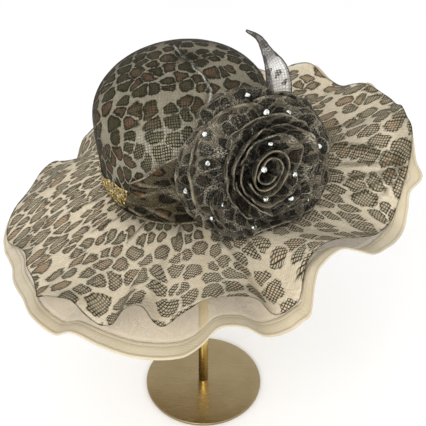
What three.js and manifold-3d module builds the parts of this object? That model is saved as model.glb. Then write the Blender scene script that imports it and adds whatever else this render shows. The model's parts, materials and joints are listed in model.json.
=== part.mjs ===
// Wide-brim sun hat of sheer printed cloth, with a cloth rose, on a plain round stand.
// Millimetres, +Z up. The origin is the middle of the stand's foot, on the surface it stands on.
// Azimuths are in degrees from +X, which is to the right of somebody who looks along +Y.

import * as THREE from 'three';
import Module from 'manifold-3d';

const wasm = await Module();
wasm.setup();

const GAP = 0.3;
const CLOTH = 1.3;

const STAND = { footRadius: 75, footThickness: 4, footSides: 40, poleRadius: 6.3, poleTop: 405, poleSides: 16,
  headHeight: 22, headClearance: 1, socketRadius: 12, socketDepth: 24, socketSides: 24 };
const HAT = { x: -22, y: 16, z: 314, forwardLean: 10, leftLean: 4 };
const CROWN = { halfWidth: 86, halfDepth: 93, height: 125, sideHeight: 74, bulge: 0.044, squareness: 2.23,
  leanRight: 0.057, leanBack: 0.03, wall: 1.5, seat: 1, segments: 36, sideRows: 4, topRows: 7,
  apexStep: 0.6 };
const BRIM = { upperRows: 5, lowerRows: 4, layerGap: 3, broadWindow: 24, broadSteps: 7, broadPower: 1.3,
  wavePower: 2.3, innerGap: 1, underlap: 4, hemWidth: 15, hemThickness: 2.2, blockOverlap: 10,
  blockDepth: 60 };
const BAND = { bottom: 6, top: 38, thickness: 1.2 };
const SASH = { bottom: 6.5, standOff: 2.2, thickness: 1.5, pleatDepth: 1.6, pleats: 3, columns: 17, rows: 6 };
const ROSE = { x: 43, y: -71, z: 363, azimuth: -70, elevation: 20,
  backingRadius: 22, backingDepth: 26, backingFront: -3, backingSides: 14, coreLevels: [0, 2, 4, 6.6],
  columns: 7, rows: 5, thickness: 1.1, leftWidth: 0.93, tallness: 0.9, ramp: 0.5, sideRounding: 0.3,
  curl: 3, curlDrop: 0.6, ripple: 1.5, frontDepth: 20, restGap: 3.4, restStep: 3.8, longestShift: 64,
  shiftStep: 0.1, restSoftness: 2, cutGap: 0.5 };
const BUD = { turns: 2.3, outerLevel: 4.9, innerLevel: 6.4, startAt: 200, columns: 25, rows: 3,
  frontDepth: 2 };
const LEAF = { thickness: 1.2, columns: 5, fold: 3, foldedHalfWidth: 14 };
const STONE = { radius: 2.9, tableRadius: 1.6, girdle: 0.5, height: 2.2, sides: 8, castFrom: 150 };

const COLOURS = { leopard: 0x8d7c68, darkLeopard: 0x3b332c, cream: 0xd8cba8, glitter: 0xb8923a,
  crystal: 0xf0f2f4, brass: 0x8f7c50 };

function table(columns, rows) {
  return rows.map((row) => Object.fromEntries(columns.split(' ').map((name, at) => [name, row[at]])));
}

// The wavy edge of the printed layer: reach from the crown's middle and height over its base.
const PRINTED_RIM = table('azimuth reach height', [
  [7, 231, 42], [16, 229, 36], [22, 226, 31], [27, 225, 22], [33, 226, 8], [40, 227, 8],
  [46, 228, 17], [52, 228, 8], [60, 228, -12], [72, 228, -8], [84, 226, -27], [96, 222, -32],
  [108, 217, -51], [118, 214, -52], [127, 212, -63], [133, 208, -72], [139, 199, -88],
  [143, 201, -84], [147, 207, -72],
  [154, 208, -69], [162, 206, -72], [175, 208, -68], [185, 208, -66], [193, 203, -62], [201, 192, -50],
  [209, 187, -40], [218, 195, -28], [226, 202, -17], [232, 213, -5], [237, 225, 15], [241, 225, 24],
  [247, 225, 29], [250, 227, 18], [253, 228, 9], [256, 228, 13], [259, 225, 31], [263, 224, 35],
  [265, 227, 20], [267, 228, 15], [271, 226, 28], [276, 223, 38], [282, 223, 37], [287, 225, 27],
  [290, 228, 6], [293, 228, 1], [296, 227, 4], [297, 226, 14], [298, 223, 34], [300, 219, 45],
  [305, 217, 50],
  [310, 219, 44], [314, 221, 35], [321, 223, 17], [327, 223, 0], [332, 225, -10], [337, 227, -6],
  [342, 229, 8], [347, 232, 24], [352, 233, 42], [359, 228, 57],
]);

// The wavy edge of the plain layer below it, out to the end of its hem.
const PLAIN_RIM = table('azimuth reach height', [
  [7, 232, 35], [16, 233, 30], [22, 234, 32], [27, 236, 20], [33, 238, 0], [40, 239, 0],
  [46, 240, 10], [52, 240, 0], [60, 240, -20], [72, 240, -15], [84, 238, -35], [96, 234, -40],
  [108, 228, -60], [118, 225, -60], [127, 222, -72], [133, 217, -79], [139, 207, -94], [143, 209, -90],
  [147, 216, -78], [154, 215, -78], [162, 213, -82], [168, 212, -80], [175, 215, -76],
  [185, 215, -74], [193, 211, -68],
  [201, 206, -53], [209, 205, -42], [217, 212, -30], [224, 218, -18], [230, 225, -6], [237, 238, 2],
  [243, 241, -4], [248, 241, 8], [254, 242, 0], [261, 243, -8], [270, 243, -7], [274, 243, 6],
  [278, 241, 24], [283, 241, 18], [287, 242, 0], [292, 242, -4], [295, 242, 2], [297, 242, 8], [298, 238, 32],
  [300, 233, 47], [306, 231, 52], [311, 234, 38], [316, 237, 20], [322, 238, 8], [328, 238, -5],
  [334, 239, -10], [338, 238, 0], [341, 237, 12], [344, 246, 21], [347, 239, 30], [355, 233, 52],
]);

// Folds across the brim that are deepest half way from the crown to the rim.
const FOLDS = table('azimuth halfWidth rise', [
  [148, 14, -16],
]);

// The upper edge of the sash, which rises from its left end to the rose and falls again behind it.
const SASH_TOP = table('azimuth top', [
  [226, 34], [238, 50], [250, 63], [261, 80], [273, 89], [290, 92], [306, 80], [320, 56], [334, 30],
]);

// Nested cups that the petals follow, from the outermost level to the middle of the bud.
const ROSE_CUPS = table('level rimRadius rimDepth rootRadius rootDepth rimRight', [
  [0, 76, 14, 9, 0, 0], [1, 67, 26, 9, 5, 0], [2, 47, 37, 8.5, 10, 9], [3, 38, 45, 8, 15, 8],
  [4, 29, 51, 7, 20, 2], [5, 20, 54, 6, 25, -3], [6, 11, 56, 5, 30, -5], [7, 4, 57, 2, 35, -6],
]);

// Each petal's cup, and the angles that it covers round the rose.
const PETALS = table('level middle span', [
  [0, 178, 92], [0, 102, 76], [0, 28, 82], [0, 318, 80], [0, 250, 78],
  [1, 150, 140], [1, 24, 124], [1, 264, 118],
  [2, 80, 130], [2, 200, 130], [2, 320, 130],
  [3, 20, 132], [3, 140, 132], [3, 260, 132],
  [4, 70, 190], [4, 250, 190],
]);

// Each leaf's mid line in the rose's own right, up and out directions, with its half width.
const LEAVES = {
  leaf_upper: table('right up out halfWidth', [
    [18, 15, -5, 3], [31, 34, -6, 7], [39, 57, -6, 11], [40, 74, -7, 12.8], [39, 82, -7, 12.6],
    [34, 98, -7, 9], [25, 112, -7, 3.5], [13, 120, -7, 0.8],
  ]),
};

// Where the stones sit, in the rose's own right and up directions.
const STONES = table('right up', [
  [1, 64], [6, 49], [37, 44], [51, 26], [-47, 37], [6, 22], [63, 9], [-47, 11], [-10, 4],
  [25, -8], [-68, -11], [-35, -30], [-7, -24], [21, -30], [52, -42], [-47, -40], [-11, -54],
]);

const radians = THREE.MathUtils.degToRad;

// Reads a column of a table at any azimuth, on a smooth curve that closes on itself.
function around(rows, column, azimuth) {
  const count = rows.length;
  const first = rows[0].azimuth;
  const angle = first + THREE.MathUtils.euclideanModulo(azimuth - first, 360);
  let index = count - 1;
  while (index > 0 && rows[index].azimuth > angle) index -= 1;
  const knot = (step) => {
    const turn = Math.floor((index + step) / count);
    const row = rows[index + step - turn * count];
    return { at: row.azimuth + 360 * turn, value: row[column] };
  };
  return hermite(knot(-1), knot(0), knot(1), knot(2), angle);
}

// Reads a column of a table that has two ends.
function along(rows, column, key, place) {
  let index = 0;
  while (index < rows.length - 2 && rows[index + 1][key] <= place) index += 1;
  const knot = (at) => {
    const row = rows[THREE.MathUtils.clamp(at, 0, rows.length - 1)];
    return { at: row[key], value: row[column] };
  };
  return hermite(knot(index - 1), knot(index), knot(index + 1), knot(index + 2), place);
}

function hermite(before, from, to, after, place) {
  const span = to.at - from.at;
  const share = (place - from.at) / span;
  const slopeFrom = (to.value - before.value) / (to.at - before.at) * span;
  const slopeTo = (after.value - from.value) / (after.at - from.at) * span;
  const squared = share * share;
  const cubed = squared * share;
  return (2 * cubed - 3 * squared + 1) * from.value + (cubed - 2 * squared + share) * slopeFrom
    + (3 * squared - 2 * cubed) * to.value + (cubed - squared) * slopeTo;
}

function smoothMax(a, b, softness) {
  return (a + b + Math.hypot(a - b, softness)) / 2;
}

// Azimuths for the brim's rings: each fold of the printed rim and the middle between two folds.
function brimAzimuths() {
  return PRINTED_RIM.flatMap((row, at) => {
    const next = PRINTED_RIM[(at + 1) % PRINTED_RIM.length].azimuth;
    const span = THREE.MathUtils.euclideanModulo(next - row.azimuth, 360);
    return [row.azimuth, row.azimuth + span / 2];
  });
}

function circle(count, pointAt) {
  return Array.from({ length: count }, (_, at) => pointAt(360 * at / count));
}

function fraction(count, pointAt) {
  return Array.from({ length: count }, (_, at) => pointAt(at / (count - 1)));
}

function turnedOver(triangles) {
  return triangles.map(([a, b, c]) => [a, c, b]);
}

// Makes a closed geometry from points and triangles, and turns its faces to point out.
function closedGeometry(points, triangles) {
  let volume = 0;
  for (const [a, b, c] of triangles) volume += points[a].dot(points[b].clone().cross(points[c]));
  const outward = volume > 0 ? triangles : turnedOver(triangles);
  const geometry = new THREE.BufferGeometry().setFromPoints(points);
  geometry.setIndex(outward.flat());
  geometry.computeVertexNormals();
  return geometry;
}

function quad(a, b, c, d) {
  return [[a, b, c], [a, c, d]];
}

// Joins closed rings of points. With no end points the last ring joins the first.
function loft(rings, startPoint, endPoint) {
  const count = rings[0].length;
  const points = rings.flat();
  const triangles = [];
  const wrapped = startPoint === undefined;
  const steps = wrapped ? rings.length : rings.length - 1;
  for (let ring = 0; ring < steps; ring += 1) {
    const here = ring * count;
    const next = (ring + 1) % rings.length * count;
    for (let at = 0; at < count; at += 1) {
      const beside = (at + 1) % count;
      triangles.push(...quad(here + at, here + beside, next + beside, next + at));
    }
  }
  if (!wrapped) {
    const start = points.push(startPoint) - 1;
    const end = points.push(endPoint) - 1;
    const last = (rings.length - 1) * count;
    for (let at = 0; at < count; at += 1) {
      const beside = (at + 1) % count;
      triangles.push([start, beside, at], [end, last + at, last + beside]);
    }
  }
  return closedGeometry(points, triangles);
}

// Gives a sheet, a grid of points, its thickness on the side away from its front.
function sheet(grid, thickness, frontHint) {
  const rows = grid.length;
  const columns = grid[0].length;
  const clampRow = (at) => THREE.MathUtils.clamp(at, 0, rows - 1);
  const clampColumn = (at) => THREE.MathUtils.clamp(at, 0, columns - 1);
  const back = grid.map((line, row) => line.map((point, column) => {
    const acrossSheet = grid[row][clampColumn(column + 1)].clone().sub(grid[row][clampColumn(column - 1)]);
    const alongSheet = grid[clampRow(row + 1)][column].clone().sub(grid[clampRow(row - 1)][column]);
    const normal = acrossSheet.cross(alongSheet).normalize();
    if (normal.dot(frontHint(point)) < 0) normal.negate();
    return point.clone().addScaledVector(normal, -thickness);
  }));
  const points = [...grid.flat(), ...back.flat()];
  const front = (row, column) => row * columns + column;
  const behind = (row, column) => rows * columns + front(row, column);
  const triangles = [];
  for (let row = 0; row < rows - 1; row += 1) {
    for (let column = 0; column < columns - 1; column += 1) {
      triangles.push(...quad(front(row, column), front(row, column + 1),
        front(row + 1, column + 1), front(row + 1, column)));
      triangles.push(...quad(behind(row, column), behind(row + 1, column),
        behind(row + 1, column + 1), behind(row, column + 1)));
    }
    for (const column of [0, columns - 1]) {
      const edge = quad(front(row, column), front(row + 1, column),
        behind(row + 1, column), behind(row, column));
      triangles.push(...(column === 0 ? edge : turnedOver(edge)));
    }
  }
  for (let column = 0; column < columns - 1; column += 1) {
    for (const row of [0, rows - 1]) {
      const edge = quad(front(row, column), behind(row, column),
        behind(row, column + 1), front(row, column + 1));
      triangles.push(...(row === 0 ? edge : turnedOver(edge)));
    }
  }
  return closedGeometry(points, triangles);
}

function part(name, geometry, colour, roughness = 0.85, metalness = 0) {
  const material = new THREE.MeshStandardMaterial({ color: colour, roughness, metalness });
  const mesh = new THREE.Mesh(geometry, material);
  mesh.name = name;
  return mesh;
}

function toSolid(geometry, matrix) {
  const placed = geometry.clone().applyMatrix4(matrix);
  return new wasm.Manifold(new wasm.Mesh({
    numProp: 3,
    vertProperties: new Float32Array(placed.getAttribute('position').array),
    triVerts: new Uint32Array(placed.index.array),
  }));
}

function fromSolid(solid) {
  const { vertProperties, triVerts } = solid.getMesh();
  const geometry = new THREE.BufferGeometry();
  geometry.setAttribute('position', new THREE.BufferAttribute(new Float32Array(vertProperties), 3));
  geometry.setIndex(new THREE.BufferAttribute(new Uint32Array(triVerts), 1));
  geometry.computeVertexNormals();
  return geometry;
}

function largestPiece(solid) {
  return solid.decompose().sort((a, b) => b.volume() - a.volume())[0];
}

// Size of the crown's level oval at a height, as a share of the oval at its base.
function crownScale(height, offset) {
  const { sideHeight, bulge, squareness } = CROWN;
  const side = 1 + bulge * Math.sin(Math.PI / 2 * Math.min(height / sideHeight, 1));
  const rise = THREE.MathUtils.clamp((height - sideHeight) / (CROWN.height + offset - sideHeight), 0, 1);
  return side * Math.pow(1 - Math.pow(rise, squareness), 1 / squareness);
}

// The crown's level oval, larger by an offset, at a height over the crown's base.
function crownPoint(azimuth, height, offset = 0) {
  const { halfWidth, halfDepth, leanRight, leanBack } = CROWN;
  const level = THREE.MathUtils.clamp(height, 0, CROWN.height + offset);
  const scale = crownScale(level, offset);
  const angle = radians(azimuth);
  return new THREE.Vector3(
    (halfWidth + offset) * scale * Math.cos(angle) + leanRight * level,
    (halfDepth + offset) * scale * Math.sin(angle) + leanBack * level,
    height,
  );
}

// Heights of the crown's rings, closer together where the top curves in.
function crownHeights(offset) {
  const { seat, sideHeight, sideRows, topRows } = CROWN;
  const top = CROWN.height + offset;
  const side = fraction(sideRows, (share) => seat + (sideHeight - seat) * share);
  const curve = Array.from({ length: topRows }, (_, at) => {
    const angle = Math.PI / 2 * (at + 1) / (topRows + CROWN.apexStep);
    return sideHeight + (top - sideHeight) * Math.pow(Math.sin(angle), 2 / CROWN.squareness);
  });
  return [...side, ...curve];
}

function crownRings(offset) {
  return crownHeights(offset).map((height) => circle(CROWN.segments, (at) => crownPoint(at, height, offset)));
}

function crownApex(offset) {
  return crownPoint(0, CROWN.height + offset, offset);
}

function crownShell() {
  const inner = crownRings(-CROWN.wall).reverse();
  return loft([...inner, ...crownRings(0)], crownApex(-CROWN.wall), crownApex(0));
}

// A solid dome that fills the crown out to an offset, to cut other pieces with.
function crownBlock(offset) {
  const rings = crownRings(offset);
  return loft(rings, new THREE.Vector3(0, 0, CROWN.seat), crownApex(offset));
}

function ovalRadius(azimuth) {
  const angle = radians(azimuth);
  return 1 / Math.hypot(Math.cos(angle) / CROWN.halfWidth, Math.sin(angle) / CROWN.halfDepth);
}

// Height of the rim without its waves: a mean over the azimuths beside this one.
function broadHeight(rim, azimuth) {
  const heights = fraction(BRIM.broadSteps, (share) => (
    around(rim, 'height', azimuth + (2 * share - 1) * BRIM.broadWindow)));
  return heights.reduce((sum, height) => sum + height, 0) / heights.length;
}

function foldHeight(azimuth) {
  return FOLDS.reduce((sum, { azimuth: middle, halfWidth, rise }) => {
    const away = THREE.MathUtils.euclideanModulo(azimuth - middle + 180, 360) - 180;
    const share = Math.min(Math.abs(away) / halfWidth, 1);
    return sum + rise * Math.cos(Math.PI / 2 * share) ** 2;
  }, 0);
}

// Height of a brim layer at a distance from the crown's middle: the broad droop starts at the
// crown, and the waves grow towards the rim.
function layerHeight(rim, azimuth, radius) {
  const start = ovalRadius(azimuth);
  const share = THREE.MathUtils.clamp((radius - start) / (around(rim, 'reach', azimuth) - start), 0, 1);
  const broad = broadHeight(rim, azimuth);
  const wave = around(rim, 'height', azimuth) - broad;
  return broad * share ** BRIM.broadPower + wave * share ** BRIM.wavePower
    + 4 * foldHeight(azimuth) * share * (1 - share);
}

function plainHeight(azimuth, radius) {
  return layerHeight(PLAIN_RIM, azimuth, radius);
}

function printedHeight(azimuth, radius) {
  const own = layerHeight(PRINTED_RIM, azimuth, radius);
  return smoothMax(own, plainHeight(azimuth, radius) + BRIM.layerGap, BRIM.layerGap);
}

function brimRing(heightAt, radiusAt, lift) {
  return brimAzimuths().map((azimuth) => {
    const radius = radiusAt(azimuth);
    const angle = radians(azimuth);
    const height = heightAt(azimuth, radius) + lift;
    return new THREE.Vector3(radius * Math.cos(angle), radius * Math.sin(angle), height);
  });
}

// A brim layer as a flat ring of cloth between an inner and an outer edge.
function brimLayer(heightAt, innerAt, outerAt, top, bottom, rows) {
  const radiusAt = (share) => (azimuth) => innerAt(azimuth) + (outerAt(azimuth) - innerAt(azimuth)) * share;
  const upper = fraction(rows, (share) => brimRing(heightAt, radiusAt(share), top));
  const lower = fraction(rows, (share) => brimRing(heightAt, radiusAt(1 - share), bottom));
  return loft([...upper, ...lower]);
}

function printedInner(azimuth) {
  return ovalRadius(azimuth) + BRIM.innerGap;
}

function printedOuter(azimuth) {
  return around(PRINTED_RIM, 'reach', azimuth);
}

function plainInner(azimuth) {
  return ovalRadius(azimuth) - BRIM.underlap;
}

function hemInner(azimuth) {
  return around(PLAIN_RIM, 'reach', azimuth) - BRIM.hemWidth;
}

function hemOuter(azimuth) {
  return around(PLAIN_RIM, 'reach', azimuth);
}

function brimUpper() {
  return brimLayer(printedHeight, printedInner, printedOuter, CLOTH, 0, BRIM.upperRows);
}

function brimLower() {
  return brimLayer(plainHeight, plainInner, (azimuth) => hemInner(azimuth) - GAP, 0, -CLOTH, BRIM.lowerRows);
}

function brimHem() {
  const top = (BRIM.hemThickness - CLOTH) / 2;
  return brimLayer(plainHeight, hemInner, hemOuter, top, top - BRIM.hemThickness, 2);
}

// A tall version of the printed layer, to cut pieces that rest on the brim with.
function brimBlock(clearance) {
  return brimLayer(printedHeight, (azimuth) => printedInner(azimuth) - BRIM.blockOverlap, printedOuter,
    CLOTH + clearance, -BRIM.blockDepth, BRIM.upperRows);
}

function glitterBand() {
  const { bottom, top, thickness } = BAND;
  const edge = (height, offset) => circle(CROWN.segments, (at) => crownPoint(at, height, offset));
  const middle = (bottom + top) / 2;
  const outer = GAP + thickness;
  return loft([edge(bottom, GAP), edge(middle, GAP), edge(top, GAP), edge(top, outer), edge(middle, outer),
    edge(bottom, outer)]);
}

// The draped sash: pleats that run along it and a top edge that follows its table.
function sash() {
  const { bottom, standOff, thickness, pleatDepth, pleats, columns, rows } = SASH;
  const start = SASH_TOP[0].azimuth;
  const end = SASH_TOP[SASH_TOP.length - 1].azimuth;
  const grid = fraction(rows, (rise) => fraction(columns, (share) => {
    const azimuth = start + (end - start) * share;
    const height = bottom + (along(SASH_TOP, 'top', 'azimuth', azimuth) - bottom) * rise;
    const pleat = pleatDepth * Math.abs(Math.sin(Math.PI * pleats * rise + share));
    return crownPoint(azimuth, height, standOff + thickness + pleat);
  }));
  return sheet(grid, thickness, (point) => new THREE.Vector3(point.x, point.y, 0));
}

function cupValue(column, level) {
  return along(ROSE_CUPS, column, 'level', level);
}

// A point of the nested cups: level picks the cup, angle goes round the rose, rise goes from
// root to rim.
function cupPoint(level, angle, rise) {
  const turn = Math.PI / 2 * rise;
  const rootRadius = cupValue('rootRadius', level);
  const rootDepth = cupValue('rootDepth', level);
  const radius = rootRadius + (cupValue('rimRadius', level) - rootRadius) * Math.sin(turn);
  const depth = rootDepth + (cupValue('rimDepth', level) - rootDepth) * (1 - Math.cos(turn));
  const right = radius * Math.cos(radians(angle));
  const up = radius * Math.sin(radians(angle));
  const lean = cupValue('rimRight', level) * (1 - Math.cos(turn));
  return new THREE.Vector3((right < 0 ? ROSE.leftWidth * right : right) + lean, ROSE.tallness * up, depth);
}

// Tells whether a point in the hat's directions lies outside the crown and its sash.
function clearsCrown({ x, y, z }, clearance) {
  const offset = SASH.standOff + SASH.thickness + SASH.pleatDepth + clearance;
  const across = (x - CROWN.leanRight * z) / (CROWN.halfWidth + offset);
  const deep = (y - CROWN.leanBack * z) / (CROWN.halfDepth + offset);
  return z > CROWN.height + offset || Math.hypot(across, deep) > crownScale(Math.max(z, 0), offset);
}

// Moves a point of the rose out along the rose's axis until it clears the crown, and then up until
// it clears the brim.
function restedPoint(point, clearance, toHat) {
  const shifted = (shift) => new THREE.Vector3(point.x, point.y, point.z + shift).applyMatrix4(toHat);
  let low = 0;
  let high = clearsCrown(shifted(0), clearance) ? 0 : ROSE.longestShift;
  while (high - low > ROSE.shiftStep) {
    const middle = (low + high) / 2;
    if (clearsCrown(shifted(middle), clearance)) high = middle;
    else low = middle;
  }
  const inHat = shifted(high);
  const azimuth = THREE.MathUtils.radToDeg(Math.atan2(inHat.y, inHat.x));
  const floor = printedHeight(azimuth, Math.hypot(inHat.x, inHat.y)) + CLOTH + clearance;
  return inHat.setZ(smoothMax(inHat.z, floor, ROSE.restSoftness)).applyMatrix4(toHat.clone().invert());
}

function petal({ level, middle, span }, toHat) {
  const { columns, rows, thickness, ramp, sideRounding, curl, curlDrop, ripple, restGap, restStep } = ROSE;
  const grid = fraction(rows, (rise) => fraction(columns, (share) => {
    const side = 2 * share - 1;
    const reach = 1 - sideRounding * Math.abs(side) ** 3;
    const ownLevel = level + ramp * (0.5 - share);
    const point = cupPoint(ownLevel, middle + span * side / 2, rise * reach);
    const lip = rise ** 6 * (1 - side * side);
    const wave = ripple * rise * rise * (1 - side * side) * Math.sin(3 * Math.PI * share + level);
    const outward = new THREE.Vector3(point.x, point.y, 0).normalize();
    point.addScaledVector(outward, curl * lip).add(new THREE.Vector3(0, 0, wave - curlDrop * curl * lip));
    return restedPoint(point, restGap + restStep * ownLevel, toHat);
  }));
  return sheet(grid, thickness, (point) => new THREE.Vector3(-point.x, -point.y, ROSE.frontDepth));
}

function roseBud() {
  const { turns, outerLevel, innerLevel, startAt, columns, rows, frontDepth } = BUD;
  const grid = fraction(rows, (rise) => fraction(columns, (share) => {
    const level = outerLevel + (innerLevel - outerLevel) * share;
    return cupPoint(level, startAt + 360 * turns * share, rise);
  }));
  const middle = cupValue('rimRight', outerLevel);
  const frontHint = (point) => new THREE.Vector3(middle - point.x, -point.y, frontDepth);
  return sheet(grid, ROSE.thickness, frontHint);
}

// The disc behind the petals, with a tapered core in front that their roots are sewn to.
function roseBacking() {
  const { backingRadius, backingDepth, backingFront, backingSides, coreLevels } = ROSE;
  const coreRing = (level) => circle(backingSides, (angle) => {
    const root = cupPoint(level, angle, 0);
    const inside = Math.hypot(root.x, root.y) - GAP;
    return root.setZ(0).setLength(inside).setZ(cupValue('rootDepth', level));
  });
  const core = coreLevels.map(coreRing);
  const foot = core[0].map((point) => point.clone().setZ(backingFront));
  const disc = [-backingDepth, backingFront].map((depth) => roundRing(backingRadius, depth, backingSides));
  const tip = new THREE.Vector3(0, 0, cupValue('rootDepth', coreLevels[coreLevels.length - 1]));
  return loft([...disc, foot, ...core], new THREE.Vector3(0, 0, -backingDepth), tip);
}

// A leaf: rows along its mid line, each as wide as the table says and folded a little upwards.
function leaf(rows) {
  const grid = rows.map((row, at) => {
    const before = rows[Math.max(at - 1, 0)];
    const after = rows[Math.min(at + 1, rows.length - 1)];
    const across = new THREE.Vector3(after.up - before.up, before.right - after.right, 0).normalize();
    const fold = LEAF.fold * row.halfWidth / LEAF.foldedHalfWidth;
    return fraction(LEAF.columns, (share) => {
      const side = 2 * share - 1;
      return new THREE.Vector3(row.right, row.up, row.out + fold * side * side)
        .addScaledVector(across, side * row.halfWidth);
    });
  });
  return sheet(grid, LEAF.thickness, () => new THREE.Vector3(0, 0, 1));
}

function stone() {
  const { radius, tableRadius, girdle, height, sides } = STONE;
  const girdleTop = roundRing(radius, girdle, sides);
  const rings = [roundRing(radius, 0, sides), girdleTop, roundRing(tableRadius, height, sides)];
  return loft(rings, new THREE.Vector3(0, 0, 0), new THREE.Vector3(0, 0, height));
}

// A round ring of points at a depth along a piece's own axis.
function roundRing(radius, depth, count) {
  return circle(count, (at) => (
    new THREE.Vector3(radius * Math.cos(radians(at)), radius * Math.sin(radians(at)), depth)));
}

function roundBar(radius, from, to, sides) {
  return loft([roundRing(radius, from, sides), roundRing(radius, to, sides)],
    new THREE.Vector3(0, 0, from), new THREE.Vector3(0, 0, to));
}

function standFoot() {
  return roundBar(STAND.footRadius, 0, STAND.footThickness, STAND.footSides);
}

function standPole() {
  return roundBar(STAND.poleRadius, STAND.footThickness, STAND.poleTop, STAND.poleSides);
}

// The plain cap under the crown's top, which the hat rests on, as a solid in the hat's directions.
function headCap() {
  const offset = -CROWN.wall - STAND.headClearance;
  const lowest = CROWN.height - CROWN.wall - STAND.headHeight;
  const heights = crownHeights(offset).filter((height) => height > lowest);
  const ring = (height) => circle(CROWN.segments / 2, (at) => crownPoint(at, height, offset));
  const middle = new THREE.Vector3(CROWN.leanRight * heights[0], CROWN.leanBack * heights[0], heights[0]);
  return loft(heights.map(ring), middle, crownApex(offset));
}

// The head is the cap with a round socket below it, bored for the pole's end.
function standHead(hatMatrix) {
  const upright = new THREE.Matrix4();
  const { socketRadius, socketDepth, socketSides, poleRadius, poleTop } = STAND;
  const cap = toSolid(headCap(), hatMatrix);
  const outer = roundBar(socketRadius, poleTop - socketDepth, poleTop + socketDepth / 2, socketSides);
  const inner = roundBar(poleRadius + GAP, poleTop - 2 * socketDepth, poleTop + GAP, socketSides);
  return fromSolid(cap.add(toSolid(outer, upright)).subtract(toSolid(inner, upright)));
}

// Cuts a piece of the rose back to a gap from the crown, the sash and the brim.
function clearOf(blocks, geometry, matrix) {
  const solid = toSolid(geometry, matrix);
  const cut = blocks.reduce((rest, block) => rest.subtract(block), solid);
  return fromSolid(largestPiece(cut)).applyMatrix4(matrix.clone().invert());
}

// Sets a stone on the petals: a line along the rose's axis finds the cloth under its middle and edge.
function placeStone(mesh, row, petals, rose) {
  const out = new THREE.Vector3(0, 0, 1).transformDirection(rose.matrixWorld);
  const caster = new THREE.Raycaster();
  const edge = circle(STONE.sides, (at) => [Math.cos(radians(at)), Math.sin(radians(at))]);
  const probes = [[0, 0], ...edge];
  const depths = probes.map(([right, up]) => {
    const reach = STONE.radius + GAP;
    const start = new THREE.Vector3(row.right + right * reach, row.up + up * reach, STONE.castFrom);
    caster.set(rose.localToWorld(start.clone()), out.clone().negate());
    const hit = caster.intersectObjects(petals)[0];
    return hit === undefined ? 0 : rose.worldToLocal(hit.point.clone()).z;
  });
  mesh.position.set(row.right, row.up, Math.max(...depths) + GAP);
}

const model = new THREE.Group();

const hat = new THREE.Group();
hat.position.set(HAT.x, HAT.y, HAT.z);
hat.rotation.set(radians(HAT.forwardLean), -radians(HAT.leftLean), 0, 'YXZ');
model.add(hat);
hat.add(part('crown', crownShell(), COLOURS.darkLeopard));
hat.add(part('brim_upper', brimUpper(), COLOURS.leopard));
hat.add(part('brim_lower', brimLower(), COLOURS.cream));
hat.add(part('brim_hem', brimHem(), COLOURS.cream));
hat.add(part('glitter_band', glitterBand(), COLOURS.glitter, 0.4, 0.6));
hat.add(part('sash', sash(), COLOURS.darkLeopard));
hat.updateMatrixWorld(true);

const rose = new THREE.Group();
rose.position.set(ROSE.x, ROSE.y, ROSE.z);
rose.rotation.set(radians(90 - ROSE.elevation), 0, radians(90 + ROSE.azimuth), 'ZXY');
model.add(rose);
rose.updateMatrixWorld(true);

const roseBlocks = [
  toSolid(crownBlock(SASH.standOff + SASH.thickness + SASH.pleatDepth + GAP + ROSE.cutGap), hat.matrixWorld),
  toSolid(brimBlock(ROSE.cutGap), hat.matrixWorld),
];
const roseToHat = hat.matrixWorld.clone().invert().multiply(rose.matrixWorld);
const petals = PETALS.map((row, at) => {
  const name = `petal_${String(at + 1).padStart(2, '0')}`;
  return part(name, petal(row, roseToHat), COLOURS.darkLeopard);
});
petals.push(part('rose_bud', roseBud(), COLOURS.darkLeopard));
rose.add(...petals);
rose.add(part('rose_backing', clearOf(roseBlocks, roseBacking(), rose.matrixWorld), COLOURS.darkLeopard));
for (const [name, rows] of Object.entries(LEAVES)) {
  rose.add(part(name, clearOf(roseBlocks, leaf(rows), rose.matrixWorld), COLOURS.leopard));
}
rose.updateMatrixWorld(true);
STONES.forEach((row, at) => {
  const mesh = part(`stone_${String(at + 1).padStart(2, '0')}`, stone(), COLOURS.crystal, 0.05);
  placeStone(mesh, row, petals, rose);
  rose.add(mesh);
});

model.add(part('stand_foot', standFoot(), COLOURS.brass, 0.35, 0.9));
model.add(part('stand_pole', standPole(), COLOURS.brass, 0.25, 0.9));
model.add(part('stand_head', standHead(hat.matrixWorld), COLOURS.brass, 0.5, 0.5));

export default model;
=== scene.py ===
"""Dresses the wide-brim sun hat and its stand, and sets them on a pale studio floor."""

import json
import math

import bpy
import numpy as np
from bpy.props import FloatProperty, FloatVectorProperty, IntProperty, PointerProperty
from mathutils import Matrix, Vector
from mathutils.bvhtree import BVHTree

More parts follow.
